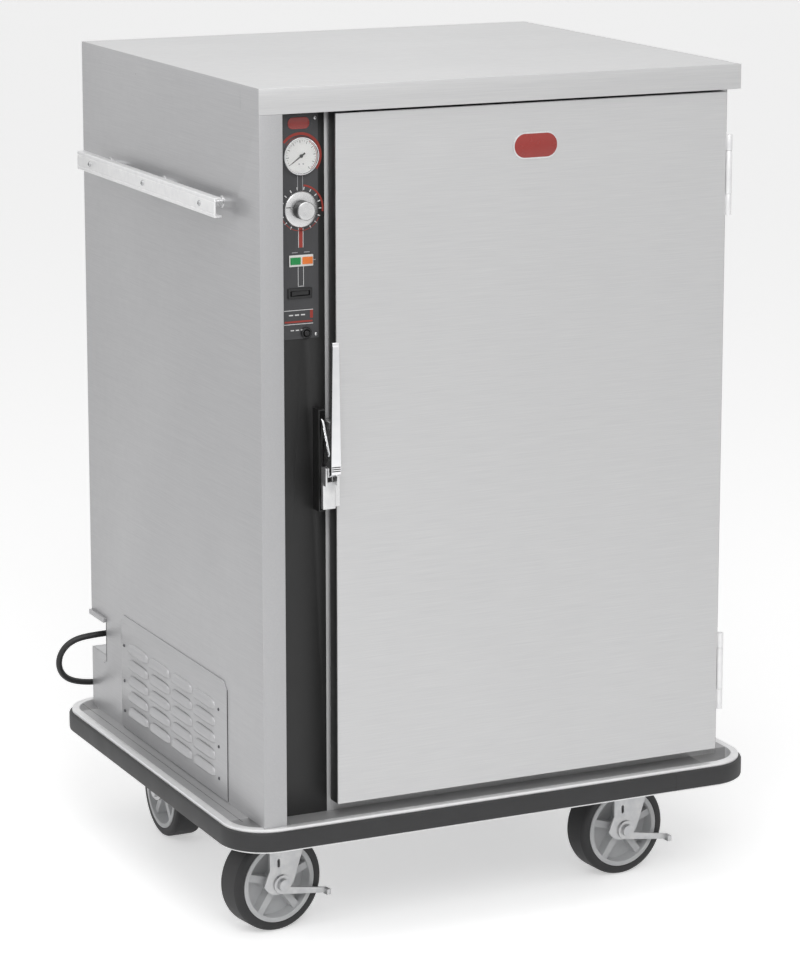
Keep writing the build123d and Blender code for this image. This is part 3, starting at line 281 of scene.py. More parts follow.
@dataclass(frozen=True)
class Woven:
    """Woven webbing or spun fibre: crossed threads, or loose strands, that catch light at grazing angles."""

    name: str
    light: str
    dark: str
    thread: float
    sheen: float = 0.3

    def make(self) -> bpy.types.Material:
        """Build the material; the thread is the spacing in mm of the threads or strands."""
        material, tree, where = blank_material(self.name)
        turns = 1 / (self.thread * MM)
        warp = add_node(tree, "TexWave",
                        {"Vector": where, "Scale": turns / 20, "Distortion": 1.2, "Detail": 1.0},
                        bands_direction="X")
        weft = add_node(tree, "TexWave",
                        {"Vector": where, "Scale": turns / 20, "Distortion": 1.2, "Detail": 1.0},
                        bands_direction="Z")
        threads = add_node(tree, "Math", {0: warp.outputs["Fac"], 1: weft.outputs["Fac"]},
                           operation="MAXIMUM")
        fibre = add_node(tree, "TexNoise", {"Vector": where, "Scale": turns / 2, "Detail": 4.0})
        mixed = add_node(tree, "Math", {0: threads.outputs[0], 1: fibre.outputs["Fac"]},
                         operation="MULTIPLY")
        colour = tint(tree, mixed.outputs[0], self.dark, self.light, 0.1, 0.6)
        bump = add_node(tree, "Bump", {"Height": mixed.outputs[0], "Strength": 0.6, "Distance": 0.3 * MM})
        shader = add_node(tree, "BsdfPrincipled", {
            "Base Color": colour, "Roughness": 0.9, "Normal": bump.outputs[0], "Sheen Weight": self.sheen})
        close_material(tree, shader.outputs[0])
        return material


@dataclass(frozen=True)
class ClearCast:
    """Clear or tinted cast plastic or glass, which lets light through and mirrors a little of it."""

    name: str
    colour: str
    roughness: float
    transmission: float
    ior: float = 1.49
    glow: float = 0.0

    def make(self) -> bpy.types.Material:
        """Build the material, with a fine ripple as a lens moulding has."""
        material, tree, where = blank_material(self.name)
        ripple = add_node(tree, "TexNoise", {"Vector": where, "Scale": 1 / (3.5 * MM), "Detail": 1.0})
        bump = add_node(tree, "Bump",
                        {"Height": ripple.outputs["Fac"], "Strength": 0.08, "Distance": 0.1 * MM})
        colour = tint(tree, ripple.outputs["Fac"], self.colour, self.colour)
        shader = add_node(tree, "BsdfPrincipled", {
            "Base Color": colour, "Roughness": self.roughness, "Normal": bump.outputs[0], "IOR": self.ior,
            "Transmission Weight": self.transmission, "Emission Color": linear(self.colour),
            "Emission Strength": self.glow})
        close_material(tree, shader.outputs[0])
        return material


class FinishBook:
    """Every finish of the cabinet, made once and handed out by name."""

    def __init__(self) -> None:
        """Build the materials."""
        finishes = (
            # 304 stainless, brushed upright on the walls: soft, pale and a little streaky
            RolledSteel("brushed_304_upright"),
            # The same sheet with its grain running across, as on the door
            RolledSteel("brushed_304_across", grain=Axis.X, light="D4D4D4", dark="C9C9CA", roughness=0.38),
            # The same sheet brushed along its length, for the side walls, drawn darker than the rest as
            # painted shade
            RolledSteel("brushed_304_lengthways_painted_shade", grain=Axis.Y, light="BDBDBE", dark="B1B1B3"),
            # Inner sheets are 2B mill finish: duller and greyer, with no brushing
            Plated("mill_finish_2b", light="B9BABB", dark="ABACAE", roughness=0.34, grit=1.2),
            # Anodised extrusion: paler and more even than sheet
            Plated("anodised_extrusion", light="F2F2F2", dark="EAEAEB", roughness=0.38, metallic=0.45,
                   grit=0.9),
            # The deck is aluminium plate, drawn in a darker grey than the sheet
            RolledSteel("deck_plate", light="B2B2B2", dark="A6A6A8", grain=Axis.X, roughness=0.42,
                        metallic=0.5),
            Plated("bright_zinc", light="D0D0D0", dark="BFC0C2", roughness=0.36, metallic=0.6, grit=1.6),
            Plated("polished_chrome", light="EDEDEE", dark="E4E5E7", roughness=0.09, grit=6.0, bump=0.02),
            # Screws of the vented panel have gone dull and dark
            Plated("dull_screw_zinc", light="5C5D60", dark="46474A", roughness=0.42, metallic=0.6,
                   grit=0.8),
            Plated("satin_chrome", light="DADADA", dark="CDCDCE", roughness=0.28, metallic=0.85, grit=1.0),
            Plated("heater_sheath", light="6F675E", dark="4A423C", roughness=0.5, grit=1.5),
            # Powder coat on the strip and keeper: near black, with an orange-peel skin; on the door's narrow
            # sides the same black is painted shade
            Moulded("black_powder_coat_and_painted_shade", colour="1E1E1E", dusty="242424", roughness=0.5, texture=1.6,
                    depth=0.05),
            # Back-printed polycarbonate overlay: dark grey, smooth, faint gloss
            Moulded("overlay_polycarbonate", colour="3E3E40", dusty="444446", roughness=0.42, texture=0.5,
                    depth=0.01),
            Moulded("printed_white", colour="E6E6E6", dusty="DCDCDC", roughness=0.5, texture=0.5,
                    depth=0.01),
            Moulded("printed_grey", colour="A5A5A8", dusty="9A9A9C", roughness=0.5, texture=0.5,
                    depth=0.01),
            Moulded("printed_red", colour="A03A30", dusty="96362E", roughness=0.5, texture=0.5, depth=0.01),
            Moulded("badge_enamel_red", colour="9E2B24", dusty="952822", roughness=0.25, texture=2.0,
                    depth=0.01, coat=0.4),
            Moulded("dial_card", colour="F1F1EF", dusty="ECECEA", roughness=0.6, texture=0.6, depth=0.01),
            Moulded("dial_ink", colour="161616", dusty="1C1C1C", roughness=0.6, texture=0.6, depth=0.01),
            Moulded("bumper_vinyl", colour="2A2A2B", dusty="333334", roughness=0.55, texture=1.8,
                    depth=0.08),
            Moulded("gasket_silicone", colour="4A4A4A", dusty="565656", roughness=0.7, texture=1.0),
            Moulded("black_abs", colour="1B1B1C", dusty="222223", roughness=0.38, texture=0.8, depth=0.03),
            Moulded("white_abs", colour="E9E9E6", dusty="E2E2DF", roughness=0.34, texture=0.9, depth=0.02),
            Moulded("tyre_rubber", colour="2A2A2B", dusty="353536", roughness=0.62, texture=1.4,
                    depth=0.08),
            Moulded("wheel_nylon", colour="D2D3D4", dusty="C6C7C8", roughness=0.45, texture=1.0,
                    depth=0.04),
            Moulded("cord_vinyl", colour="1E1E1F", dusty="272728", roughness=0.46, texture=1.1, depth=0.03),
            Moulded("motor_enamel", colour="23272A", dusty="2B2F32", roughness=0.4, texture=2.2, depth=0.05,
                    coat=0.2),
            Woven("tie_webbing", light="3A3A3C", dark="161617", thread=1.0),
            Woven("mineral_wool", light="D8CBA0", dark="A08F5C", thread=1.6, sheen=0.1),
            ClearCast("lens_green", colour="1E9A52", roughness=0.18, transmission=0.25, glow=0.12),
            ClearCast("lens_amber", colour="F08A3C", roughness=0.18, transmission=0.25, glow=0.12),
            ClearCast("dial_crystal", colour="FFFFFF", roughness=0.03, transmission=1.0, ior=1.45),
        )
        self.materials = {finish.name: finish.make() for finish in finishes}

    def __getitem__(self, name: str) -> bpy.types.Material:
        """Hand out a material by its name."""
        return self.materials[name]


# Building pieces


def to_object(bm: bmesh.types.BMesh, name: str, finishes: Sequence[bpy.types.Material],
              crease: float = 32.0) -> bpy.types.Object:
    """Turn a finished bmesh into an object with smooth faces and sharp creases.

    Args:
        bm: the mesh, in metres in the shared frame; it is freed here.
        name: the piece's name.
        finishes: its materials, in the order of the faces' material places.
        crease: the angle in degrees above which an edge stays sharp.

    Returns:
        The new object, at the origin.
    """
    for face in bm.faces:
        face.smooth = True
    for edge in bm.edges:
        edge.smooth = edge.is_manifold and edge.calc_face_angle(pi) < radians(crease)
    mesh = bpy.data.meshes.new(name)
    bm.to_mesh(mesh)
    bm.free()
    for finish in finishes:
        mesh.materials.append(finish)
    piece = bpy.data.objects.new(name, mesh)
    bpy.context.scene.collection.objects.link(piece)
    return piece


def place(piece: bpy.types.Object, body: str, slot: str, replaces: Iterable[str] = ()) -> bpy.types.Object:
    """Let a piece ride on a body, and hide the nodes that it stands for.

    Args:
        piece: the finished object.
        body: the CAD body that carries it.
        slot: the record's material slot; not used.
        replaces: CAD nodes that it replaces.

    Returns:
        The same object.
    """
    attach(piece, body)
    if replaces:
        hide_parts(*replaces)
    logger.info("%s rides on %s: %d faces", piece.name, body,
                len(piece.data.polygons) if piece.type == "MESH" else 0)
    return piece


def rounded_copy(node: str, finish: bpy.types.Material, width: float, segments: int = 2,
                 sharper_than: float = 40.0) -> bpy.types.Object:
    """Copy a CAD node with its folded or machined edges rounded, and let the copy stand for it.

    Args:
        node: the CAD node.
        finish: the copy's material.
        width: width of the rounding in mm.
        segments: faces across the rounding.
        sharper_than: angle in degrees from which an edge is rounded.

    Returns:
        The new object, riding on the node's body.
    """
    source = frame["nodes"][node]
    bm = bmesh.new()
    bm.from_mesh(source.data)
    bmesh.ops.remove_doubles(bm, verts=bm.verts, dist=0.004 * MM)
    bmesh.ops.dissolve_limit(bm, angle_limit=radians(0.6), verts=bm.verts, edges=bm.edges)
    sharp = [e for e in bm.edges if e.is_manifold and e.calc_face_angle(0) > radians(sharper_than)]
    bmesh.ops.bevel(bm, geom=sharp, offset=width * MM, offset_type="OFFSET", segments=segments, profile=0.5,
                    affect="EDGES", clamp_overlap=True, material=-1, loop_slide=True)
    for face in bm.faces:
        face.material_index = 0
    piece = to_object(bm, node + "_sheet", [finish], crease=28.0)
    slot = next(part["material_slot"] for part in frame["record"]["subparts"] if part["node"] == node)
    return place(piece, source["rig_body"], slot, [node])


def dress(node: str, finish: bpy.types.Material) -> None:
    """Give a CAD node that stays its material."""
    materials = frame["nodes"][node].data.materials
    materials.clear()
    materials.append(finish)


def spun(profile: Sequence[tuple[float, float]], middle: Vector, axis: Vector, steps: int = 48,
         material: int = 0, into: bmesh.types.BMesh | None = None) -> bmesh.types.BMesh:
    """Spin an open profile round an axis into a closed shape of revolution.

    Args:
        profile: points as (radius, height along the axis) in mm, from the axis out and back to it.
        middle: the point of the axis at height zero, in metres.
        axis: direction of the axis.
        steps: facets round.
        material: material place of the new faces.
        into: a mesh to add to, or None for a new one.

    Returns:
        The mesh with the shape added.
    """
    shape = bmesh.new()
    turn = Vector((0, 0, 1)).rotation_difference(axis.normalized()).to_matrix().to_4x4()
    verts = [shape.verts.new((radius * MM, 0, height * MM)) for radius, height in profile]
    edges = [shape.edges.new(pair) for pair in zip(verts, verts[1:])]
    bmesh.ops.spin(shape, geom=verts + edges, cent=(0, 0, 0), axis=(0, 0, 1), angle=2 * pi, steps=steps,
                   use_merge=True)
    bmesh.ops.remove_doubles(shape, verts=shape.verts, dist=0.002 * MM)
    bmesh.ops.recalc_face_normals(shape, faces=shape.faces)
    bmesh.ops.transform(shape, matrix=Matrix.Translation(middle) @ turn, verts=shape.verts)
    return merged(shape, material, into)


def merged(shape: bmesh.types.BMesh, material: int, into: bmesh.types.BMesh | None) -> bmesh.types.BMesh:
    """Give a shape's faces their material place and join it to another mesh.

    Args:
        shape: the shape; it is freed if it joins another.
        material: material place of its faces.
        into: the mesh to join, or None.

    Returns:
        The joined mesh, or the shape itself.
    """
    for face in shape.faces:
        face.material_index = material
    if into is None:
        return shape
    mesh = bpy.data.meshes.new("joined")
    shape.to_mesh(mesh)
    shape.free()
    into.from_mesh(mesh)
    bpy.data.meshes.remove(mesh)
    return into


def slab(low: Point, high: Point, rounding: float, segments: int = 2, material: int = 0,
         into: bmesh.types.BMesh | None = None) -> bmesh.types.BMesh:
    """Make a box between two corners with all its edges rounded.

    Args:
        low: lowest corner in mm.
        high: highest corner in mm.
        rounding: width of the rounding in mm.
        segments: faces across the rounding.
        material: material place of the new faces.
        into: a mesh to add to, or None for a new one.

    Returns:
        The mesh with the box added.
    """
    shape = bmesh.new()
    bmesh.ops.create_cube(shape, size=1.0)
    size = [(b - a) * MM for a, b in zip(low, high)]
    middle = [(a + b) / 2 * MM for a, b in zip(low, high)]
    bmesh.ops.scale(shape, vec=size, verts=shape.verts)
    bmesh.ops.translate(shape, vec=middle, verts=shape.verts)
    if rounding > 0:
        bmesh.ops.bevel(shape, geom=shape.edges[:], offset=rounding * MM, segments=segments, profile=0.5,
                        affect="EDGES", clamp_overlap=True, material=-1)
    return merged(shape, material, into)


def prism(outline: Sequence[tuple[float, float]], where: Callable[[float, float, float], Point], low: float,
          high: float,
          rounding: float = 0.0, segments: int = 2, material: int = 0,
          into: bmesh.types.BMesh | None = None) -> bmesh.types.BMesh:
    """Extrude a closed outline between two depths and round its edges.

    Args:
        outline: corners of the outline as (a, b) in mm.
        where: turns (a, b, depth) into a point in mm in the shared frame.
        low: depth of the first face in mm.
        high: depth of the last face in mm.
        rounding: width of the rounding in mm.
        segments: faces across the rounding.
        material: material place of the new faces.
        into: a mesh to add to, or None for a new one.

    Returns:
        The mesh with the prism added.
    """
    shape = bmesh.new()
    first = shape.faces.new([shape.verts.new(Vector(where(a, b, low)) * MM) for a, b in outline])
    grown = bmesh.ops.extrude_face_region(shape, geom=[first])
    moved = [v for v in grown["geom"] if isinstance(v, bmesh.types.BMVert)]
    step = (Vector(where(0, 0, high)) - Vector(where(0, 0, low))) * MM
    bmesh.ops.translate(shape, vec=step, verts=moved)
    bmesh.ops.recalc_face_normals(shape, faces=shape.faces)
    if rounding > 0:
        sharp = [e for e in shape.edges if e.calc_face_angle(0) > radians(35)]
        bmesh.ops.bevel(shape, geom=sharp, offset=rounding * MM, segments=segments, profile=0.5,
                        affect="EDGES", clamp_overlap=True, material=-1)
    return merged(shape, material, into)


def front_view(a: float, b: float, depth: float) -> Point:
    """Outline in X and Z, with its depth along Y."""
    return (a, depth, b)


def side_view(a: float, b: float, depth: float) -> Point:
    """Outline in Y and Z, with its depth along X."""
    return (depth, a, b)


def rounded_rectangle(x: float, y: float, width: float, height: float, radius: float,
                      per_corner: int = 5) -> list[tuple[float, float]]:
    """Corners of a rectangle with rounded corners, about its middle.

    Args:
        x: middle across.
        y: middle up.
        width: full width.
        height: full height.
        radius: radius of the corners.
        per_corner: steps round each corner.

    Returns:
        The outline's points, anticlockwise.
    """
    points = []
    for quarter, (sx, sy) in enumerate(((1, 1), (-1, 1), (-1, -1), (1, -1))):
        cx = x + sx * (width / 2 - radius)
        cy = y + sy * (height / 2 - radius)
        for step in range(per_corner + 1):
            angle = (quarter + step / per_corner) * pi / 2
            points.append((cx + radius * cos(angle), cy + radius * sin(angle)))
    return points


def ring_arc(x: float, z: float, inner: float, outer: float, start: float, end: float,
             steps: int = 28) -> list[tuple[float, float]]:
    """Outline of a flat arc band about a middle.

    Args:
        x: middle across.
        z: middle up.
        inner: inner radius.
        outer: outer radius.
        start: first angle in degrees, anticlockwise from +X.
        end: last angle in degrees.
        steps: steps along the arc.

    Returns:
        The outline's points.
    """
    angles = [radians(start + (end - start) * i / steps) for i in range(steps + 1)]
    out = [(x + outer * cos(t), z + outer * sin(t)) for t in angles]
    back = [(x + inner * cos(t), z + inner * sin(t)) for t in reversed(angles)]
    return out + back


# Camera, light and floor


@dataclass
class PhotoCamera:
    """A camera at the photograph's viewing angle, with a lens shift kept small for the other views."""

    place: Point = (-2.365761, -5.003982, 1.889649)
    turn: float = 0.457973
    dip: float = 0.199686
    roll: float = 0.003283
    lens: float = 131.647
    shift: tuple[float, float] = (-0.061538, -0.102564)

    def build(self) -> None:
        """Add the camera and make it the scene's own."""
        ahead = Vector((sin(self.turn) * cos(self.dip), cos(self.turn) * cos(self.dip), -sin(self.dip)))
        across = ahead.cross(Vector((0, 0, 1))).normalized()
        upward = across.cross(ahead)
        right = cos(self.roll) * across + sin(self.roll) * upward
        up = cos(self.roll) * upward - sin(self.roll) * across
        data = bpy.data.cameras.new("photo_camera")
        data.lens = self.lens
        data.sensor_width = 36.0
        data.shift_x, data.shift_y = self.shift
        data.clip_end = 200.0
        camera = bpy.data.objects.new("photo_camera", data)
        bpy.context.scene.collection.objects.link(camera)
        camera.matrix_world = Matrix((
            (right.x, up.x, -ahead.x, self.place[0]),
            (right.y, up.y, -ahead.y, self.place[1]),
            (right.z, up.z, -ahead.z, self.place[2]),
            (0, 0, 0, 1)))
        bpy.context.scene.camera = camera


@dataclass
class Studio:
    """Soft lamps, a white surround and a plain pale floor."""

    floor_size: float = 90.0
    world_strength: float = 0.36
    floor_glow: float = 0.46

    def build(self) -> None:
        """Build the floor, the world and the lamps."""
        self.build_floor()
        self.build_world()
        self.build_lamp("overhead", (-0.6, -1.0, 4.2), (0.0, 0.0, 0.9), (3.6, 3.0), 34.0)
        self.build_lamp("front_left", (-1.2, -3.2, 3.1), (0.0, 0.0, 1.15), (1.8, 1.8), 58.0)
        self.build_lamp("left_wall", (-3.4, -0.2, 3.0), (-0.4, 0.0, 1.2), (1.8, 1.8), 18.0)

    def seen_directly(self, tree: bpy.types.NodeTree) -> bpy.types.NodeSocket:
        """Tell the rays that show a backdrop from those that light the cabinet.

        Args:
            tree: the node tree of the floor or the world.

        Returns:
            A socket that is one for camera, glossy and transmission rays, and nought for the rest.
        """
        path = add_node(tree, "LightPath")
        mirrored = add_node(tree, "Math",
                            {0: path.outputs["Is Glossy Ray"], 1: path.outputs["Is Transmission Ray"]},
                            operation="MAXIMUM")
        seen = add_node(tree, "Math", {0: path.outputs["Is Camera Ray"], 1: mirrored.outputs[0]},
                        operation="MAXIMUM")
        return seen.outputs[0]

    def build_floor(self) -> None:
        """Make the floor: a plain pale sheet, lifted a little for the rays that show it."""
        bm = bmesh.new()
        bmesh.ops.create_grid(bm, x_segments=2, y_segments=2, size=self.floor_size / 2)
        material, tree, where = blank_material("studio_paper")
        fibre = add_node(tree, "TexNoise", {"Vector": where, "Scale": 1 / (4 * MM), "Detail": 2.0})
        colour = tint(tree, fibre.outputs["Fac"], "F6F6F6", "FAFAFA")
        paper = add_node(tree, "BsdfPrincipled", {"Base Color": colour, "Roughness": 0.75})
        seen = self.seen_directly(tree)
        strength = add_node(tree, "Math", {0: seen, 1: self.floor_glow}, operation="MULTIPLY")
        glow = add_node(tree, "Emission", {"Color": (1, 1, 1, 1), "Strength": strength.outputs[0]})
        both = add_node(tree, "AddShader", {0: paper.outputs[0], 1: glow.outputs[0]})
        close_material(tree, both.outputs[0])
        floor = to_object(bm, "studio_floor", [material])

    def build_world(self) -> None:
        """Light the world evenly, and show it white behind the cabinet."""
        world = bpy.data.worlds.new("white_surround")
        bpy.context.scene.world = world
        world.use_nodes = True
        tree = world.node_tree
        tree.nodes.clear()
        soft = add_node(tree, "Background", {"Color": (1, 1, 1, 1), "Strength": self.world_strength})
        white = add_node(tree, "Background", {"Color": (1, 1, 1, 1), "Strength": 1.0})
        shown = add_node(tree, "MixShader",
                         {0: self.seen_directly(tree), 1: soft.outputs[0], 2: white.outputs[0]})
        add_node(tree, "OutputWorld", {"Surface": shown.outputs[0]})

    def build_lamp(self, name: str, place: Point, target: Point, size: tuple[float, float],
                   power: float) -> None:
        """Hang one soft rectangular lamp that faces a point.

        Args:
            name: the lamp's name.
            place: where it hangs.
            target: the point it faces.
            size: its width and height in metres.
            power: its power in watts.
        """
        data = bpy.data.lights.new(name, "AREA")
        data.shape = "RECTANGLE"
        data.size, data.size_y = size
        data.energy = power
        lamp = bpy.data.objects.new(name, data)
        bpy.context.scene.collection.objects.link(lamp)
        lamp.location = place
        lamp.rotation_euler = (Vector(target) - Vector(place)).to_track_quat("-Z", "Y").to_euler()


# Cord


@dataclass
class SupplyCord:
    """Mains cord: out of the strain relief, round behind the cabinet to its stored coil and plug."""

    diameter: float = 10.0
    length: float = 1.82
    coil_x: float = -18.0
    coil_y: float = 512.0
    layer_low: float = 6.6
    layer_high: float = 17.2
    route: tuple[Point, ...] = (
        (-373, 332, 330), (-418, 333, 329.5), (-445, 338, 320), (-459, 344.5, 300), (-459, 352, 275),
        (-444, 361, 253), (-414, 372.5, 239.5), (-368, 388, 231), (-322, 409, 222), (-293, 424, 203),
        (-276, 432, 170), (-262, 434, 128), (-246, 436, 84), (-223, 439, 43), (-188, 443, 15),
        (-144, 450, 6.8), (-98, 452, 6.6), (-54, 446, 6.6), (-34, 446, 6.6))
    reaches: tuple[float, ...] = (66.0, 60.7, 55.4, 50.1, 44.8, 56.0, 61.3)
    turn_points: int = 14
    tail: float = 58.0

    def coil_points(self) -> list[Point]:
        """Control points of the coil, half turn by half turn.

        Returns:
            Points in mm. Each is pushed out a little, because the spline runs inside its control points.
        """
        points: list[Point] = []
        half = self.turn_points // 2
        outward = 1 / cos(pi / self.turn_points)
        for step, (near, far) in enumerate(zip(self.reaches, self.reaches[1:])):
            side = -1 if step % 2 == 0 else 1
            middle_y = self.coil_y + side * (near - far) / 2
            radius = (near + far) / 2 * outward
            low = self.layer_low if step < 4 else self.layer_high
            rise = self.layer_high - self.layer_low if step == 3 else 0.0
            for i in range(half):
                share = (i + 0.5) / half
                turn = radians(-90 if side < 0 else 90) + pi * share
                points.append((self.coil_x + radius * cos(turn), middle_y + radius * sin(turn),
                               low + rise * share))
        return points

    def build_cord(self, finishes: FinishBook) -> bpy.types.Object:
        """Draw the cord as one smooth spline, from the relief to the plug.

        Args:
            finishes: the cabinet's materials.

        Returns:
            The cord's curve.
        """
        end_y = self.coil_y - self.reaches[-1]
        tail = [(self.coil_x + 6, end_y, self.layer_high), (self.coil_x + 26, end_y, self.layer_high),
                (self.coil_x + self.tail, end_y, self.layer_high)]
        points = list(self.route) + self.coil_points() + tail
        curve = bpy.data.curves.new("supply_cord", "CURVE")
        curve.dimensions = "3D"
        curve.bevel_depth = self.diameter / 2 * MM
        curve.bevel_resolution = 6
        curve.resolution_u = 8
        curve.use_fill_caps = True
        spline = curve.splines.new("NURBS")
        spline.points.add(len(points) - 1)
        for knot, point in zip(spline.points, points):
            knot.co = (*(Vector(point) * MM), 1.0)
        spline.order_u = 3
        spline.use_endpoint_u = True
        curve.materials.append(finishes["cord_vinyl"])
        cord = bpy.data.objects.new("supply_cord", curve)
        bpy.context.scene.collection.objects.link(cord)
        return place(cord, "cabinet", "cord_jacket", ["power_cord", "power_cord_coil"])

    def build_relief(self, finishes: FinishBook) -> None:
        """Spin the strain relief: a flange, then a ribbed taper."""
        low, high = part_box("strain_relief")
        wall = high.x / MM
        middle = (low + high) / 2
        profile = [(0, 0), (15, 0), (15, 2.2), (14.2, 3), (10.5, 3)]
        ribs = 5
        for rib in range(ribs):
            start = 3.6 + rib * 4.4
            wide = 10.5 - 3.5 * (start - 3) / 25
            profile += [(wide, start), (wide, start + 2.8), (wide - 1.5, start + 3.1),
                        (wide - 1.5, start + 4.0)]
        profile += [(7.0, 26.0), (6.8, 28.0), (5.05, 28.0), (5.05, 26.0), (0, 26.0)]
        bm = spun(profile, Vector((wall * MM, middle.y, middle.z)), Vector((-1, 0, 0)), steps=40)
        place(to_object(bm, "ribbed_strain_relief", [finishes["black_abs"]]), "cabinet", "black_plastic",
              ["strain_relief"])

    def build_plug(self, finishes: FinishBook) -> bpy.types.Object:
        """Mould the plug: ribbed neck, grip with flats, two blades and the round earth pin.

        Returns:
            The plug.
        """
        low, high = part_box("power_plug")
        start = low.x / MM
        face = start + 46
        y, z = (low.y + high.y) / 2 / MM, self.layer_high
        profile: list[tuple[float, float]] = [(0, 0), (6.6, 0)]
        for rib in range(4):
            at = 1.5 + rib * 3.6
            profile += [(7.0 + rib * 0.9, at), (7.0 + rib * 0.9, at + 2.0), (6.2 + rib * 0.9, at + 2.3),
                        (6.2 + rib * 0.9, at + 3.2)]
        profile += [(11.0, 17.0), (13.6, 20.0), (15.2, 23.5), (15.4, 30.0), (14.6, 34.0), (14.6, 38.0),
                    (15.4, 41.0), (15.4, 44.6), (14.6, 46.0), (0, 46.0)]
        bm = spun(profile, Vector((start, y, z)) * MM, Vector((1, 0, 0)), steps=40)
        for side in (-1, 1):
            blade = y + side * 6.35
            slab((face - 1, blade - 0.8, z - 3.2), (face + 18, blade + 0.8, z + 3.2), 0.5, material=1,
                 into=bm)
        spun([(0, 0), (2.4, 0), (2.4, 16.6), (1.4, 18), (0, 18)], Vector((face, y, z - 8)) * MM,
             Vector((1, 0, 0)), steps=20, material=1, into=bm)
        plug = to_object(bm, "moulded_plug", [finishes["black_abs"], finishes["polished_chrome"]])
        return place(plug, "cabinet", "black_plastic", ["power_plug"])

    def build_tie(self, finishes: FinishBook) -> bpy.types.Object:
        """Wrap the hook-and-loop tie round the coil's bundle.

        Returns:
            The tie.
        """
        low, high = (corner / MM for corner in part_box("cord_tie"))
        outline = rounded_rectangle((low.x + high.x) / 2, (low.z + high.z) / 2, high.x - low.x,
                                    high.z - low.z, 5.0)
        inner = rounded_rectangle((low.x + high.x) / 2, (low.z + high.z) / 2, high.x - low.x - 2.4,
                                  high.z - low.z - 2.4, 3.8)
        bm = bmesh.new()
        rings = [[bm.verts.new((x * MM, low.y * MM, z * MM)) for x, z in points]
                 for points in (outline, inner)]
        for ring in rings:
            for i, vert in enumerate(ring):
                bm.edges.new((vert, ring[(i + 1) % len(ring)]))
        bmesh.ops.bridge_loops(bm, edges=bm.edges[:])
        grown = bmesh.ops.extrude_face_region(bm, geom=bm.faces[:])
        bmesh.ops.translate(bm, vec=(0, (high.y - low.y) * MM, 0),
                            verts=[v for v in grown["geom"] if isinstance(v, bmesh.types.BMVert)])
        bmesh.ops.recalc_face_normals(bm, faces=bm.faces)
        tie = to_object(bm, "webbing_tie", [finishes["tie_webbing"]])
        return place(tie, "cabinet", "tie_fabric", ["cord_tie"])

    def build(self, finishes: FinishBook) -> None:
        cord = self.build_cord(finishes)
        self.build_relief(finishes)
        plug = self.build_plug(finishes)
        tie = self.build_tie(finishes)


# Casters


@dataclass
class CasterLooks:
    """A swivel caster: tyre with rounded shoulders, spoked core, zinc fork, bearing ring and brake."""

    tag: str
    braked: bool
    wheel_radius: float = 76.2
    cap_bore: float = 6.3
    cap_radius: float = 13.2
    cap_inner_end: float = 25.4
    cap_outer_end: float = 27.4
    core_radius: float = 62.0
    tread: float = 50.0

    def axle(self) -> tuple[Vector, Vector]:
        """Find the wheel's middle and its axle.

        Returns:
            The middle in metres, and the axle's direction.
        """
        roll = next(j for j in frame["joints"] if j["name"] == f"{self.tag}_roll")
        return Vector(roll["pos_m"]), Vector(roll["axis"]).normalized()

    def build_tyre(self, finishes: FinishBook) -> None:
        """Spin the tyre: crowned tread, two fine grooves and a bead on each side."""
        middle, axis = self.axle()
        half = self.tread / 2
        side = [(self.core_radius, half - 1.4), (self.core_radius + 1.4, half - 0.1),
                (69.0, half), (72.2, half - 0.8), (74.8, half - 2.9), (76.0, half - 6.2),
                (75.5, half - 6.8), (76.05, half - 7.4)]
        crown = [(76.15, half - 14), (self.wheel_radius, 0.0)]
        upper = side + crown
        profile = upper + [(radius, -height) for radius, height in reversed(upper[:-1])]
        profile += [profile[0]]
        bm = spun(profile, middle, axis, steps=96)
        tyre = to_object(bm, f"{self.tag}_tyre_ring", [finishes["tyre_rubber"]], crease=38.0)
        place(tyre, f"{self.tag}_wheel", "tyre", [f"caster_{self.tag}_tyre"])

    def build_hub(self, finishes: FinishBook) -> None:
        """Add the bearing caps at both ends of the hub."""
        middle, axis = self.axle()
        inner, outer = self.cap_inner_end, self.cap_outer_end
        cap = [(self.cap_bore, outer - 0.4), (self.cap_bore, outer), (self.cap_radius - 1.2, outer),
               (self.cap_radius, outer - 0.8), (self.cap_radius, inner), (self.cap_bore, inner),
               (self.cap_bore, outer - 0.4)]
        bm = spun(cap, middle, axis, steps=32)
        spun(cap, middle, -axis, steps=32, into=bm)
        place(to_object(bm, f"{self.tag}_bearing_caps", [finishes["satin_chrome"]]), f"{self.tag}_wheel",
              "zinc")

    def build_swivel(self, finishes: FinishBook) -> None:
        """Add the pressed bearing ring round the fork's raceway."""
        swivel = next(j for j in frame["joints"] if j["name"] == f"{self.tag}_swivel")
        x, y = swivel["pos_m"][0], swivel["pos_m"][1]
        ring = [(32.8, 169.2), (34.6, 170.0), (35.8, 172.0), (35.8, 177.5), (34.8, 180.0), (32.8, 181.0),
                (32.8, 169.2)]
        bm = spun(ring, Vector((x, y, 0)), Vector((0, 0, 1)), steps=48)
        place(to_object(bm, f"{self.tag}_bearing_ring", [finishes["bright_zinc"]]), f"{self.tag}_fork",
              "zinc")

    def build(self, finishes: FinishBook) -> None:
        """Build and dress one caster."""
        self.build_tyre(finishes)
        self.build_hub(finishes)
        self.build_swivel(finishes)
        rounded_copy(f"caster_{self.tag}_wheel_core", finishes["wheel_nylon"], 0.8)
        rounded_copy(f"caster_{self.tag}_fork", finishes["bright_zinc"], 0.7)
        if self.braked:
            rounded_copy(f"caster_{self.tag}_brake_lever", finishes["bright_zinc"], 0.7)


# Base and bumper


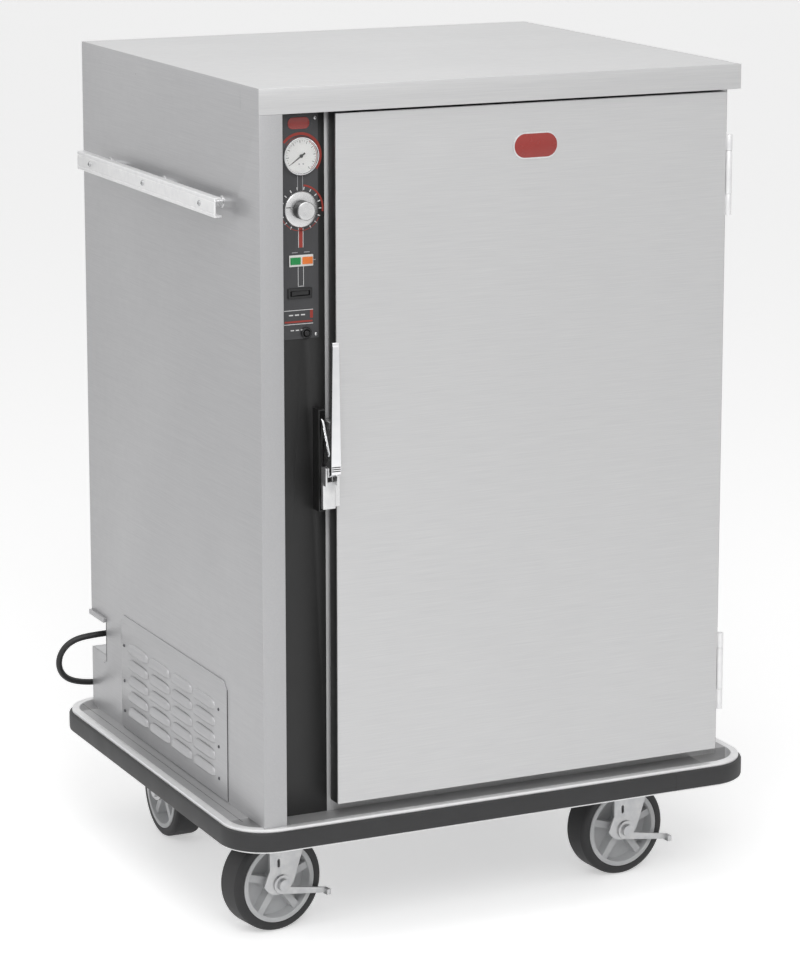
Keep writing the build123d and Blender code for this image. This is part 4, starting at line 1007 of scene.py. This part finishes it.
@dataclass
class BaseLooks:
    """The deck with its bumper: a bright channel that holds a band of black vinyl."""

    deck_joint_x: float = -412.0
    joint_width: float = 0.8
    band_joint: tuple[float, float] = (295.4, 183.0)

    def build_band(self, finishes: FinishBook) -> None:
        """Sweep the band's section round the bumper: a plain face with rounded shoulders."""
        low, high = (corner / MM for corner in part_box("bumper_insert"))
        outline = rounded_rectangle(0, (low.y + high.y) / 2, high.x - low.x, high.y - low.y, 73.0,
                                    per_corner=16)
        middle = Vector((0, (low.y + high.y) / 2, 0))
        section = [(14.0, 168.7), (2.6, 168.7), (0.9, 169.7), (0.1, 172.0), (0.0, 183.2), (0.1, 194.4),
                   (0.9, 196.7),
                   (2.6, 197.7), (14.0, 197.7)]
        bm = bmesh.new()
        rings = []
        for inset, z in section:
            wide, deep = (high.x - low.x) - 2 * inset, (high.y - low.y) - 2 * inset
            ring = rounded_rectangle(0, middle.y, wide, deep, 73.0 - inset, per_corner=16)
            rings.append([bm.verts.new((x * MM, y * MM, z * MM)) for x, y in ring])
        count = len(outline)
        for lower, upper in zip(rings, rings[1:] + rings[:1]):
            for i in range(count):
                bm.faces.new((lower[i], lower[(i + 1) % count], upper[(i + 1) % count], upper[i]))
        bmesh.ops.recalc_face_normals(bm, faces=bm.faces)
        band = to_object(bm, "bumper_band", [finishes["bumper_vinyl"]], crease=40.0)
        place(band, "cabinet", "bumper_rubber", ["bumper_insert"])

    def build_joints(self, finishes: FinishBook) -> None:
        """Draw the joint of the deck plate along its left edge, and the butt joint of the band in front."""
        _, high = frame_box_mm("base_frame")
        low, _ = frame_box_mm("bumper_insert")
        half = self.joint_width / 2
        bm = slab((self.deck_joint_x - half, low.y + 60, high.z - 0.2),
                  (self.deck_joint_x + half, high.y - 20, high.z + 0.1), 0.0)
        x, z = self.band_joint
        slab((x - 0.5, low.y - 0.15, z - 13), (x + 0.5, low.y + 1.0, z + 13), 0.0, into=bm)
        place(to_object(bm, "base_joints", [finishes["black_abs"]]), "cabinet", "bumper_rubber")

    def build(self, finishes: FinishBook) -> None:
        """Build and dress the base."""
        self.build_band(finishes)
        rounded_copy("bumper_rail", finishes["anodised_extrusion"], 0.4)
        rounded_copy("base_frame", finishes["deck_plate"], 0.5)
        dress("caster_plates", finishes["bright_zinc"])
        self.build_joints(finishes)


# Body


@dataclass
class ShellLooks:
    """The steel body: its walls, top, front frame and the inner sheets."""

    wall_x: float = -396.5
    seam_y: float = -292.6
    seam_width: float = 0.6
    seam_bottom: float = 1264.0
    seam_top: float = 1299.0
    notch_front: float = 295.0
    notch_back: float = 359.5
    slit_front: float = 292.4
    slit_back: float = 294.0

    def build_sheets(self, finishes: FinishBook) -> None:
        """Round the folded edges of the outer sheets and dress the rest."""
        upright = finishes["brushed_304_upright"]
        side_sheet_painted_shade = finishes["brushed_304_lengthways_painted_shade"]
        # The side walls take the darker sheet that carries painted shade
        rounded_copy("left_side_panel", side_sheet_painted_shade, 0.7, segments=3)
        rounded_copy("right_side_panel", side_sheet_painted_shade, 0.6)
        rounded_copy("back_panel", upright, 0.6)
        rounded_copy("top_cover", finishes["brushed_304_across"], 0.7, segments=3)
        rounded_copy("front_frame", upright, 0.5)
        rounded_copy("cord_recess_box", finishes["mill_finish_2b"], 0.5)
        dress("inner_liner", finishes["mill_finish_2b"])
        dress("insulation", finishes["mineral_wool"])

    def build_seams(self, finishes: FinishBook) -> None:
        """Lay the fine seam of the top rim, its tack welds, and the folded flange over the cord notch."""
        bm = slab((self.wall_x - 0.25, self.seam_y, self.seam_bottom),
                  (self.wall_x + 0.3, self.seam_y + self.seam_width, self.seam_top), 0.1)
        spun([(0, 0), (1.3, 0), (0.9, 0.35), (0, 0.5)], Vector((self.wall_x - 0.02, 123.0, 1273.0)) * MM,
             Vector((-1, 0, 0)), steps=16, into=bm)
        spun([(0, 0), (1.1, 0), (0.8, 0.3), (0, 0.4)], Vector((self.wall_x - 0.02, -293.0, 1275.0)) * MM,
             Vector((-1, 0, 0)), steps=16, into=bm)
        place(to_object(bm, "rim_seam", [finishes["mill_finish_2b"]]), "cabinet", "stainless")
        notch = frame_box_mm("cord_recess_box")
        bm = slab((self.wall_x - 5.0, self.notch_front, notch[1].z - 8.0),
                  (self.wall_x + 0.2, self.notch_back, notch[1].z + 0.5), 0.8)
        slab((self.wall_x - 0.3, self.slit_front, 293.0), (self.wall_x + 0.2, self.slit_back, 365.0), 0.1,
             material=1, into=bm)
        spun([(0, 0), (2.6, 0), (2.0, 1.0), (0, 1.5)], Vector((self.wall_x, 305.0, 290.0)) * MM,
             Vector((-1, 0, 0)), steps=20, into=bm)
        place(to_object(bm, "notch_flange", [finishes["brushed_304_lengthways_painted_shade"], finishes["black_abs"]]),
              "cabinet", "stainless")

    def build(self, finishes: FinishBook) -> None:
        """Build and dress the body."""
        self.build_sheets(finishes)
        self.build_seams(finishes)


def frame_box_mm(node: str) -> tuple[Vector, Vector]:
    """Box of a CAD node in mm."""
    low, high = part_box(node)
    return low / MM, high / MM


@dataclass
class AccessPanelLooks:
    """The vented panel low on the left wall: a clipped plate pressed into rows of rounded louvres."""

    columns: int = 4
    rows: int = 5
    pitch_y: float = 93.0
    pitch_z: float = 26.5
    first_y: float = -133.5
    first_z: float = 240.0
    length: float = 83.0
    height: float = 15.0
    bulge: float = 6.0
    skin: float = 0.9
    steps_along: int = 32
    steps_round: int = 9

    def add_louvre(self, bm: bmesh.types.BMesh, face_x: float, y: float, z: float) -> None:
        """Press one louvre: a quarter of a long dome, open below, that fades out at its rounded ends.

        Args:
            bm: the panel's mesh.
            face_x: the plate's outer face.
            y: middle of the louvre.
            z: middle of the louvre.
        """
        rows = []
        for skin in (0.0, self.skin):
            for step in range(self.steps_along + 1):
                share = 2 * step / self.steps_along - 1
                full = (1 - abs(share) ** 6) ** 0.5
                section = []
                for turn_step in range(self.steps_round + 1):
                    turn = turn_step / self.steps_round * pi / 2
                    out = max(0.0, self.bulge * full * cos(turn) - skin)
                    up = max(0.0, self.height * (0.25 + 0.75 * full) * sin(turn) - skin)
                    at = (face_x - out, y + share * (self.length / 2 - skin), z - self.height / 2 + up)
                    section.append(bm.verts.new(Vector(at) * MM))
                rows.append(section)
        count = self.steps_along + 1
        outer, inner = rows[:count], rows[count:]
        for side, flip in ((outer, False), (inner, True)):
            for first, second in zip(side, side[1:]):
                for i in range(self.steps_round):
                    corners = (first[i], second[i], second[i + 1], first[i + 1])
                    bm.faces.new(tuple(reversed(corners)) if flip else corners)
        for i in range(self.steps_along):
            bm.faces.new((outer[i][0], inner[i][0], inner[i + 1][0], outer[i + 1][0]))

    def build(self, finishes: FinishBook) -> None:
        """Cut the plate with its clipped corners, press the louvres and edge it with a dark joint."""
        low, high = frame_box_mm("louvre_panel")
        wall = high.x
        face = wall - 1.5
        clip = 12.0
        outline = [(low.y, low.z), (high.y, low.z), (high.y, high.z - clip), (high.y - clip, high.z),
                   (low.y + clip, high.z), (low.y, high.z - clip)]
        bm = prism(outline, side_view, face, wall, rounding=0.4)
        for column in range(self.columns):
            for row in range(self.rows):
                self.add_louvre(bm, face, self.first_y + column * self.pitch_y,
                                self.first_z + row * self.pitch_z)
        slab((wall - 0.5, low.y - 1.1, low.z), (wall + 0.2, low.y + 0.3, high.z - clip), 0.1, material=1,
             into=bm)
        panel = to_object(bm, "vented_panel", [finishes["brushed_304_lengthways_painted_shade"], finishes["black_abs"]])
        place(panel, "cabinet", "stainless", ["louvre_panel"])


@dataclass
class ScrewLooks:
    """Every exposed screw: pan heads with a cross recess, drawn as a black cross of painted shade."""

    cross_turn: float = 28.0

    def add_screw(self, bm: bmesh.types.BMesh, at: Vector, out: Vector, radius: float, height: float,
                  material: int) -> None:
        """Add one pan head with its cross, drawn in black as painted shade of the recess.

        Args:
            bm: the screws' mesh.
            at: middle of its seat, in mm.
            out: direction it stands in.
            radius: radius of its head in mm.
            height: height of its head in mm.
            material: material place.
        """
        profile = [(0, -0.2), (radius, -0.2), (radius, height * 0.3), (radius * 0.86, height * 0.72),
                   (radius * 0.55, height), (0, height)]
        spun(profile, at * MM, out, steps=24, material=material, into=bm)
        # The recess is drawn as a thin black cross on the head: painted shade
        cross = bmesh.new()
        for turn in (0, 1):
            arm = bmesh.new()
            bmesh.ops.create_cube(arm, size=1.0)
            size = [radius * 1.1, radius * 0.24, 0.12]
            if turn:
                size[0], size[1] = size[1], size[0]
            bmesh.ops.scale(arm, vec=[s * MM for s in size], verts=arm.verts)
            merged(arm, 2, cross)
        tilt = Vector((0, 0, 1)).rotation_difference(out.normalized()).to_matrix().to_4x4()
        turned = tilt @ Matrix.Rotation(radians(self.cross_turn), 4, "Z")
        bmesh.ops.transform(cross, matrix=Matrix.Translation((at + out * height) * MM) @ turned,
                            verts=cross.verts)
        merged(cross, 2, bm)

    def build(self, finishes: FinishBook) -> None:
        """Put a head on each CAD screw, found from the node's separate islands."""
        bm = bmesh.new()
        source = bmesh.new()
        source.from_mesh(frame["nodes"]["panel_screws"].data)
        bmesh.ops.remove_doubles(source, verts=source.verts, dist=0.01 * MM)
        left = set(source.verts)
        while left:
            island = {left.pop()}
            edge = list(island)
            while edge:
                vert = edge.pop()
                for link in vert.link_edges:
                    other = link.other_vert(vert)
                    if other in left:
                        left.discard(other)
                        island.add(other)
                        edge.append(other)
            low = Vector([min(v.co[i] for v in island) for i in range(3)]) / MM
            high = Vector([max(v.co[i] for v in island) for i in range(3)]) / MM
            size = high - low
            middle = (low + high) / 2
            if size.y < size.x:
                self.add_screw(bm, Vector((middle.x, high.y, middle.z)), Vector((0, -1, 0)), size.x / 2,
                               size.y, 0)
            else:
                self.add_screw(bm, Vector((high.x, middle.y, middle.z)), Vector((-1, 0, 0)), size.y / 2,
                               size.x, 1 if size.y > 7 else 3)
        source.free()
        screws = to_object(bm, "pan_head_screws", [finishes["satin_chrome"], finishes["mill_finish_2b"],
                                                   finishes["black_abs"], finishes["dull_screw_zinc"]])
        place(screws, "cabinet", "stainless", ["panel_screws"])


@dataclass
class HandleLooks:
    """The push handle: an extruded channel with a shallow groove along its face, on three spacers."""

    groove: float = 0.8

    def build(self, finishes: FinishBook) -> None:
        """Extrude the channel and turn the spacers."""
        low, high = frame_box_mm("push_handle")
        top, bottom, face, back = high.z, low.z, low.x, high.x
        wall = 3.0
        outline = [
            (face + 1.0, bottom), (back, bottom), (back, bottom + wall), (face + wall, bottom + wall),
            (face + wall, top - wall), (back, top - wall), (back, top), (face + 1.0, top),
            (face, top - 1.2),
            (face, top - 4.4), (face + self.groove, top - 5.0), (face + self.groove, top - 6.2),
            (face, top - 6.8),
            (face, bottom + 6.8), (face + self.groove, bottom + 6.2), (face + self.groove, bottom + 5.0),
            (face, bottom + 4.4), (face, bottom + 1.2)]
        bm = prism(outline, lambda a, b, depth: (a, depth, b), low.y, high.y, rounding=0.35)
        handle = to_object(bm, "push_handle_channel", [finishes["anodised_extrusion"]], crease=25.0)
        place(handle, "cabinet", "aluminium", ["push_handle"])
        spacers_low, spacers_high = frame_box_mm("handle_spacers")
        middle_z = (spacers_low.z + spacers_high.z) / 2
        radius = (spacers_high.z - spacers_low.z) / 2
        ys = (spacers_low.y + radius, (spacers_low.y + spacers_high.y) / 2, spacers_high.y - radius)
        reach = spacers_high.x - spacers_low.x
        bm = bmesh.new()
        profile = [(0, 0), (radius, 0), (radius, 1.4), (radius - 1.0, 2.2), (radius - 1.0, reach - 2.2),
                   (radius, reach - 1.4), (radius, reach), (0, reach)]
        for y in ys:
            spun(profile, Vector((spacers_high.x, y, middle_z)) * MM, Vector((-1, 0, 0)), steps=32, into=bm)
        place(to_object(bm, "turned_spacers", [finishes["satin_chrome"]]), "cabinet", "aluminium",
              ["handle_spacers"])


# Controls


@dataclass
class ControlLooks:
    """The control strip: printed overlay, thermometer, thermostat knob, lamps, switch and breaker."""

    face: float = -321.8
    dial: tuple[float, float] = (-316.4, 1196.6)
    knob: tuple[float, float] = (-315.8, 1118.6)
    lamps: tuple[float, float] = (-316.0, 1043.5)
    switch: tuple[float, float] = (-318.0, 995.5)
    breaker: tuple[float, float] = (-308.0, 936.0)

    def print_flat(self, outlines: Sequence[Sequence[tuple[float, float]]], name: str,
                   finish: bpy.types.Material,
                   depth: float = 0.12, lift: float = 0.0) -> None:
        """Print flat marks on the overlay as thin raised ink.

        Args:
            outlines: the marks' outlines in X and Z.
            name: the piece's name.
            finish: the ink.
            depth: thickness of the ink in mm.
            lift: how far in front of the overlay the marks start, in mm.
        """
        bm = bmesh.new()
        for outline in outlines:
            prism(outline, front_view, self.face - lift - depth, self.face - lift, into=bm)
        place(to_object(bm, name, [finish]), "cabinet", "fascia_print")

    def bar(self, x: float, z: float, width: float, height: float,
            turn: float = 0.0) -> list[tuple[float, float]]:
        """Outline of a bar about its middle.

        Args:
            x: middle across.
            z: middle up.
            width: width in mm.
            height: height in mm.
            turn: angle in degrees, anticlockwise.

        Returns:
            Its four corners.
        """
        c, s = cos(radians(turn)), sin(radians(turn))
        corners = ((-width / 2, -height / 2), (width / 2, -height / 2), (width / 2, height / 2),
                   (-width / 2, height / 2))
        return [(x + a * c - b * s, z + a * s + b * c) for a, b in corners]

    def build_prints(self, finishes: FinishBook) -> None:
        """Print the scale, the arcs and the connecting lines."""
        kx, kz = self.knob
        dx, dz = self.dial
        ticks = [self.bar(kx + 30.6 * cos(radians(t)), kz + 30.6 * sin(radians(t)), 4.2, 1.5, t)
                 for t in range(-60, 241, 20)]
        lower = self.bar(self.lamps[0] - 4.2, (self.lamps[1] + self.switch[1]) / 2 + 1.5, 0.7, 32)
        other = self.bar(self.lamps[0] + 4.2, (self.lamps[1] + self.switch[1]) / 2 + 1.5, 0.7, 32)
        foot = [self.bar(self.lamps[0], self.switch[1] + 10.2, 9.2, 0.7)]
        stripes = [self.bar(-320.0, 970.5, 46.0, 0.9), self.bar(-320.0, 950.0, 46.0, 0.9)]
        words = [self.bar(-332.0 + 9.5 * i, 963.5, 6.5, 1.8)
                 for i in range(3)] + [self.bar(-330.0 + 8.0 * i, 941.0, 5.4, 1.5) for i in range(3)]
        side = [self.bar(-296.5, self.lamps[1], 8.0, 1.2)]
        caps = [self.bar(self.lamps[0] - 9.5, self.lamps[1] + 12.0, 9.0, 1.2),
                self.bar(self.lamps[0] + 9.5, self.lamps[1] + 12.0, 9.0, 1.2)]
        self.print_flat(ticks + [lower, other] + foot + stripes + words, "printed_marks_white",
                        finishes["printed_white"])
        links = [self.bar(dx - 3.9, (dz + kz) / 2 + 1, 0.9, 26),
                 self.bar(dx + 3.9, (dz + kz) / 2 + 1, 0.9, 26)]
        self.print_flat(links + caps + side, "printed_marks_grey", finishes["printed_grey"])
        reds = [ring_arc(dx, dz, 30.2, 34.2, -38, 142), ring_arc(kx, kz, 33.6, 36.2, -8, 82),
                ring_arc(kx, kz, 31.0, 32.0, 205, 335)]
        reds.append(self.bar(kx, (kz + self.lamps[1]) / 2 - 4.0, 6.0, 29.0))
        reds.append(self.bar(-299.5, 964.0, 4.6, 12.0))
        reds.append(self.bar(-320.0, 953.6, 44.0, 2.6))
        self.print_flat(reds, "printed_marks_red", finishes["printed_red"])
        edges = [self.bar(kx - 3.6, (kz + self.lamps[1]) / 2 - 4.0, 0.8, 29.0),
                 self.bar(kx + 3.6, (kz + self.lamps[1]) / 2 - 4.0, 0.8, 29.0)]
        self.print_flat(edges, "printed_bar_edges", finishes["printed_white"])
        badge = rounded_rectangle(-318.6, 1244.0, 34.0, 17.0, 7.5)
        bm = prism(badge, front_view, self.face - 0.8, self.face, rounding=0.25)
        place(to_object(bm, "plain_fascia_badge", [finishes["badge_enamel_red"]]), "cabinet",
              "fascia_print")

    def build_thermometer(self, finishes: FinishBook) -> None:
        """Spin the bezel and back, print the dial, and set the crystal over it."""
        low, _ = frame_box_mm("thermometer_case")
        x, z = self.dial
        middle = Vector((x, self.face, z)) * MM
        out = Vector((0, -1, 0))
        stand = self.face - low.y
        floor = stand - 3.0
        profile = [(0, -22), (25, -22), (25, 0), (28.5, 0), (28.5, stand - 2.2), (28.0, stand - 0.9),
                   (27.1, stand), (26.2, stand - 0.2),
                   (25.6, stand - 1.0), (25.5, floor), (1.3, floor), (1.3, floor - 3), (0, floor - 3)]
        case = to_object(spun(profile, middle, out, steps=96), "thermometer_bezel",
                         [finishes["polished_chrome"]])
        place(case, "cabinet", "chrome", ["thermometer_case"])
        card = [(1.4, floor - 0.01), (25.45, floor - 0.01), (25.45, floor + 0.12), (1.4, floor + 0.12),
                (1.4, floor - 0.01)]
        bm = spun(card, middle, out, steps=72)
        mark = self.face - floor - 0.12
        for step in range(28):
            turn = radians(215 - step * 10)
            long_mark = step % 3 == 0
            reach = 21.2 if long_mark else 22.2
            bar = self.bar(x + reach * cos(turn), z + reach * sin(turn), 4.0 if long_mark else 2.0,
                           0.7 if long_mark else 0.35, 215 - step * 10)
            prism(bar, front_view, mark - 0.08, mark, material=1, into=bm)
        prism(ring_arc(x, z, 23.9, 24.7, -55, 60), front_view, mark - 0.06, mark, material=2, into=bm)
        for step in range(2):
            prism(self.bar(x - 3.2 + 6.4 * step, z - 11.5, 2.0, 2.0), front_view, mark - 0.06, mark,
                  material=3, into=bm)
        card_piece = to_object(bm, "thermometer_dial",
                               [finishes["dial_card"], finishes["dial_ink"], finishes["printed_red"],
                                finishes["printed_grey"]])
        place(card_piece, "cabinet", "white_plastic")
        glass = [(0, stand - 1.6), (25.5, stand - 1.6), (25.5, stand - 1.2), (18, stand - 0.7),
                 (9, stand - 0.45), (0, stand - 0.4)]
        place(to_object(spun(glass, middle, out, steps=64), "thermometer_crystal",
                        [finishes["dial_crystal"]]), "cabinet", "chrome")
        dress("thermometer_needle", finishes["dial_ink"])

    def build_knob(self, finishes: FinishBook) -> None:
        """Turn the knob: a thin skirt, a knurled cap with a bright top, its shaft and its pointer."""
        low, high = frame_box_mm("thermostat_knob")
        x, z = self.knob
        stand = self.face - low.y
        middle = Vector((x, self.face, z)) * MM
        out = Vector((0, -1, 0))
        skirt = [(0, self.face - high.y), (3.2, self.face - high.y), (3.2, 0.3), (26.5, 0.3), (26.5, 1.6),
                 (25.6, 3.0), (24.0, 3.7), (13.6, 3.7), (13.6, 3.2), (0, 3.2)]
        bm = spun(skirt, middle, out, steps=80)
        cap = [(0, 3.2), (13.4, 3.2), (13.4, stand - 3.2), (13.4, stand - 3.0)]
        spun(cap + [(0, stand - 3.0)], middle, out, steps=64, material=1, into=bm)
        top = [(0, stand - 3.2), (13.0, stand - 3.2), (13.5, stand - 2.6), (13.5, stand - 1.2),
               (12.6, stand - 0.3), (11.0, stand), (4.0, stand - 0.25), (0, stand - 0.3)]
        spun(top, middle, out, steps=64, into=bm)
        for step in range(40):
            turn = 2 * pi * step / 40
            rib = bmesh.new()
            bmesh.ops.create_cone(rib, cap_ends=True, segments=6, radius1=0.55 * MM, radius2=0.45 * MM,
                                  depth=(stand - 8) * MM)
            bmesh.ops.rotate(rib, verts=rib.verts, cent=(0, 0, 0), matrix=Matrix.Rotation(pi / 2, 3, "X"))
            spot = Vector((x + 13.2 * cos(turn), self.face - (stand + 1) / 2, z + 13.2 * sin(turn))) * MM
            bmesh.ops.translate(rib, verts=rib.verts, vec=spot)
            merged(rib, 1, bm)
        slab((x - 24.4, self.face - 4.0, z + 3.2), (x - 17.0, self.face - 3.5, z + 4.4), 0.1, material=1,
             into=bm)
        knob = to_object(bm, "thermostat_knob_turned", [finishes["satin_chrome"], finishes["black_abs"]])
        place(knob, "knob", "satin_knob", ["thermostat_knob"])

    def build_lamps(self, finishes: FinishBook) -> None:
        """Mould the lamps' bezel with two ribbed lenses in it."""
        low, high = frame_box_mm("pilot_lamps")
        face = self.face - 2.4
        bm = slab((low.x, face, low.z), (high.x, self.face, high.z), 0.8, segments=3)
        x = self.lamps[0]
        width = 38 / 2 - 2.8
        for side, material in ((-1, 1), (1, 2)):
            middle = x + side * 9.5
            slab((middle - width / 2, low.y, low.z + 3.2), (middle + width / 2, face + 0.4, high.z - 3.2),
                 0.5, material=material, into=bm)
            for rib in range(7):
                at = middle - width / 2 + 1.6 + rib * (width - 3.2) / 6
                slab((at - 0.3, low.y - 0.0, low.z + 3.8), (at + 0.3, low.y + 0.5, high.z - 3.8), 0.15,
                     material=material, into=bm)
        lamps = to_object(bm, "pilot_lamp_pair",
                          [finishes["white_abs"], finishes["lens_green"], finishes["lens_amber"]])
        place(lamps, "cabinet", "white_plastic", ["pilot_lamps"])

    def build_switch(self, finishes: FinishBook) -> None:
        """Round the switch's frame and rocker, and ring the breaker with its nut."""
        rounded_copy("switch_housing", finishes["black_abs"], 0.5)
        rounded_copy("power_rocker", finishes["black_abs"], 0.4)
        rounded_copy("breaker_button", finishes["black_abs"], 0.3)
        x, z = self.breaker
        nut = [(5.3, 0.0), (8.2, 0.0), (8.2, 1.9), (7.4, 2.6), (5.9, 2.6), (5.3, 2.0), (5.3, 0.0)]
        bm = spun(nut, Vector((x, self.face, z)) * MM, Vector((0, -1, 0)), steps=32)
        place(to_object(bm, "breaker_nut", [finishes["black_abs"]]), "cabinet", "black_plastic")

    def build(self, finishes: FinishBook) -> None:
        """Build and dress the controls."""
        rounded_copy("control_fascia", finishes["overlay_polycarbonate"], 0.3)
        rounded_copy("recess_strip", finishes["black_powder_coat_and_painted_shade"], 0.3)
        self.build_prints(finishes)
        self.build_thermometer(finishes)
        self.build_knob(finishes)
        self.build_lamps(finishes)
        self.build_switch(finishes)
        dress("thermostat", finishes["white_abs"])


# Door, latch and hinges


@dataclass
class DoorLooks:
    """The insulated door: folded pan, inner sheet, bulb gasket, latch, hinges and a plain badge."""

    badge: tuple[float, float, float, float] = (50.3, 1195.3, 75.7, 40.7)
    fold_depth: float = 3.0
    grip_x: float = -292.5
    foot_low: float = 741.0
    foot_ribs: int = 3
    rib_pitch: float = 3.0
    rib_height: float = 1.6
    link_side: tuple[tuple[float, float], ...] = ((-347, 808), (-342, 812), (-365, 757), (-370, 759))

    def build_skin(self, finishes: FinishBook) -> None:
        """Round the door's folds, and paint its four narrow sides behind the fold of the face black, as
        painted shade.
        """
        skin = rounded_copy("door_skin", finishes["brushed_304_across"], 0.5, segments=2)
        low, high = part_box("door_skin")
        fold = low.y + self.fold_depth * MM
        bm = bmesh.new()
        bm.from_mesh(skin.data)
        bmesh.ops.bisect_plane(bm, geom=bm.verts[:] + bm.edges[:] + bm.faces[:], plane_co=(0, fold, 0),
                               plane_no=(0, 1, 0))
        for face in bm.faces:
            middle = face.calc_center_median()
            rim = min(middle.x - low.x, high.x - middle.x, middle.z - low.z, high.z - middle.z)
            # Faces of the narrow steel sides behind the fold get the black coat as painted shade
            if middle.y > fold and rim < 1.0 * MM and abs(face.normal.y) < 0.5:
                face.material_index = 1
        bm.to_mesh(skin.data)
        bm.free()
        skin.data.materials.append(finishes["black_powder_coat_and_painted_shade"])

    def build_gasket(self, finishes: FinishBook) -> None:
        """Sweep the gasket round the door: a flat foot and a soft rounded bulb."""
        low, high = frame_box_mm("door_gasket")
        wide, tall = high.x - low.x, high.z - low.z
        deep = high.y - low.y
        section = [(0.0, 0.0), (0.0, deep * 0.45), (1.2, deep * 0.8), (4.0, deep), (10.0, deep),
                   (12.8, deep * 0.8), (14.0, deep * 0.45), (14.0, 0.0)]
        bm = bmesh.new()
        rings = []
        for inset, depth in section:
            ring = rounded_rectangle((low.x + high.x) / 2, (low.z + high.z) / 2, wide - 2 * inset,
                                     tall - 2 * inset, 16.0 - inset, per_corner=6)
            rings.append([bm.verts.new((x * MM, (low.y + depth) * MM, z * MM)) for x, z in ring])
        count = len(rings[0])
        for first, second in zip(rings, rings[1:] + rings[:1]):
            for i in range(count):
                bm.faces.new((first[i], first[(i + 1) % count], second[(i + 1) % count], second[i]))
        bmesh.ops.recalc_face_normals(bm, faces=bm.faces)
        gasket = to_object(bm, "bulb_gasket", [finishes["gasket_silicone"]], crease=50.0)
        place(gasket, "door", "gasket_rubber", ["door_gasket"])

    def build_badge(self, finishes: FinishBook) -> None:
        """Set a plain enamelled badge on the door."""
        x, z, width, height = self.badge
        low, _ = frame_box_mm("door_skin")
        bm = prism(rounded_rectangle(x, z, width, height, 20.0, per_corner=10), front_view, low.y - 1.2,
                   low.y, rounding=0.5)
        prism(rounded_rectangle(x, z, width - 5, height - 5, 17.5, per_corner=10), front_view, low.y - 1.5,
              low.y - 1.0, rounding=0.2, material=1, into=bm)
        place(to_object(bm, "plain_door_badge", [finishes["satin_chrome"], finishes["badge_enamel_red"]]),
              "door", "stainless")

    def build_latch(self, finishes: FinishBook) -> None:
        """Round the latch's castings, and add its link, its foot's ribs and its tip."""
        rounded_copy("latch_body", finishes["satin_chrome"], 0.5)
        rounded_copy("latch_lever", finishes["polished_chrome"], 0.6, segments=3)
        rounded_copy("latch_keeper", finishes["black_powder_coat_and_painted_shade"], 0.5)
        link = prism(self.link_side, side_view, self.grip_x - 2.0, self.grip_x + 1.0, rounding=0.3)
        place(to_object(link, "latch_link", [finishes["polished_chrome"]]), "door", "chrome")
        low, high = frame_box_mm("latch_lever")
        bm = slab((self.grip_x - 5.2, low.y - 0.2, high.z - 7.0),
                  (self.grip_x + 5.2, low.y + 5.0, high.z + 0.1), 1.6, segments=3)
        for rib in range(self.foot_ribs):
            at = self.foot_low + self.rib_pitch * rib
            slab((self.grip_x - 7.0, low.y - 0.3, at),
                 (self.grip_x + 7.0, low.y + 1.0, at + self.rib_height), 0.3,
                 material=1, into=bm)
        place(to_object(bm, "latch_tip_and_foot", [finishes["polished_chrome"], finishes["black_abs"]]),
              "latch", "chrome")

    def build(self, finishes: FinishBook) -> None:
        """Build and dress the door."""
        self.build_skin(finishes)
        rounded_copy("door_inner_panel", finishes["mill_finish_2b"], 0.4)
        dress("door_insulation", finishes["mineral_wool"])
        self.build_gasket(finishes)
        self.build_badge(finishes)
        self.build_latch(finishes)
        rounded_copy("hinge_door_leaves", finishes["anodised_extrusion"], 0.4)
        rounded_copy("hinge_frame_leaves", finishes["anodised_extrusion"], 0.4)


@dataclass
class CavityLooks:
    """What the door hides: shelves, their supports, the air duct, the heater and the blower."""

    def build(self, finishes: FinishBook) -> None:
        """Dress the pieces in the cavity."""
        rounded_copy("shelf_supports", finishes["mill_finish_2b"], 0.5)
        rounded_copy("air_duct_cover", finishes["mill_finish_2b"], 0.4)
        dress("wire_shelves", finishes["satin_chrome"])
        dress("heater_element", finishes["heater_sheath"])
        dress("blower_motor", finishes["motor_enamel"])
        dress("blower_wheel", finishes["bright_zinc"])


# The cabinet


def main() -> None:
    """Build the whole scene, one sub-assembly after another."""
    logging.basicConfig(level=logging.INFO, format="%(message)s")
    bpy.context.scene.view_settings.view_transform = "Standard"
    finishes = FinishBook()
    PhotoCamera().build()
    Studio().build()
    SupplyCord().build(finishes)
    for tag, braked in (("front_left", True), ("front_right", True), ("rear_left", False),
                        ("rear_right", False)):
        CasterLooks(tag, braked).build(finishes)
    BaseLooks().build(finishes)
    ShellLooks().build(finishes)
    AccessPanelLooks().build(finishes)
    ScrewLooks().build(finishes)
    HandleLooks().build(finishes)
    ControlLooks().build(finishes)
    DoorLooks().build(finishes)
    CavityLooks().build(finishes)


if __name__ == "__main__":
    main()
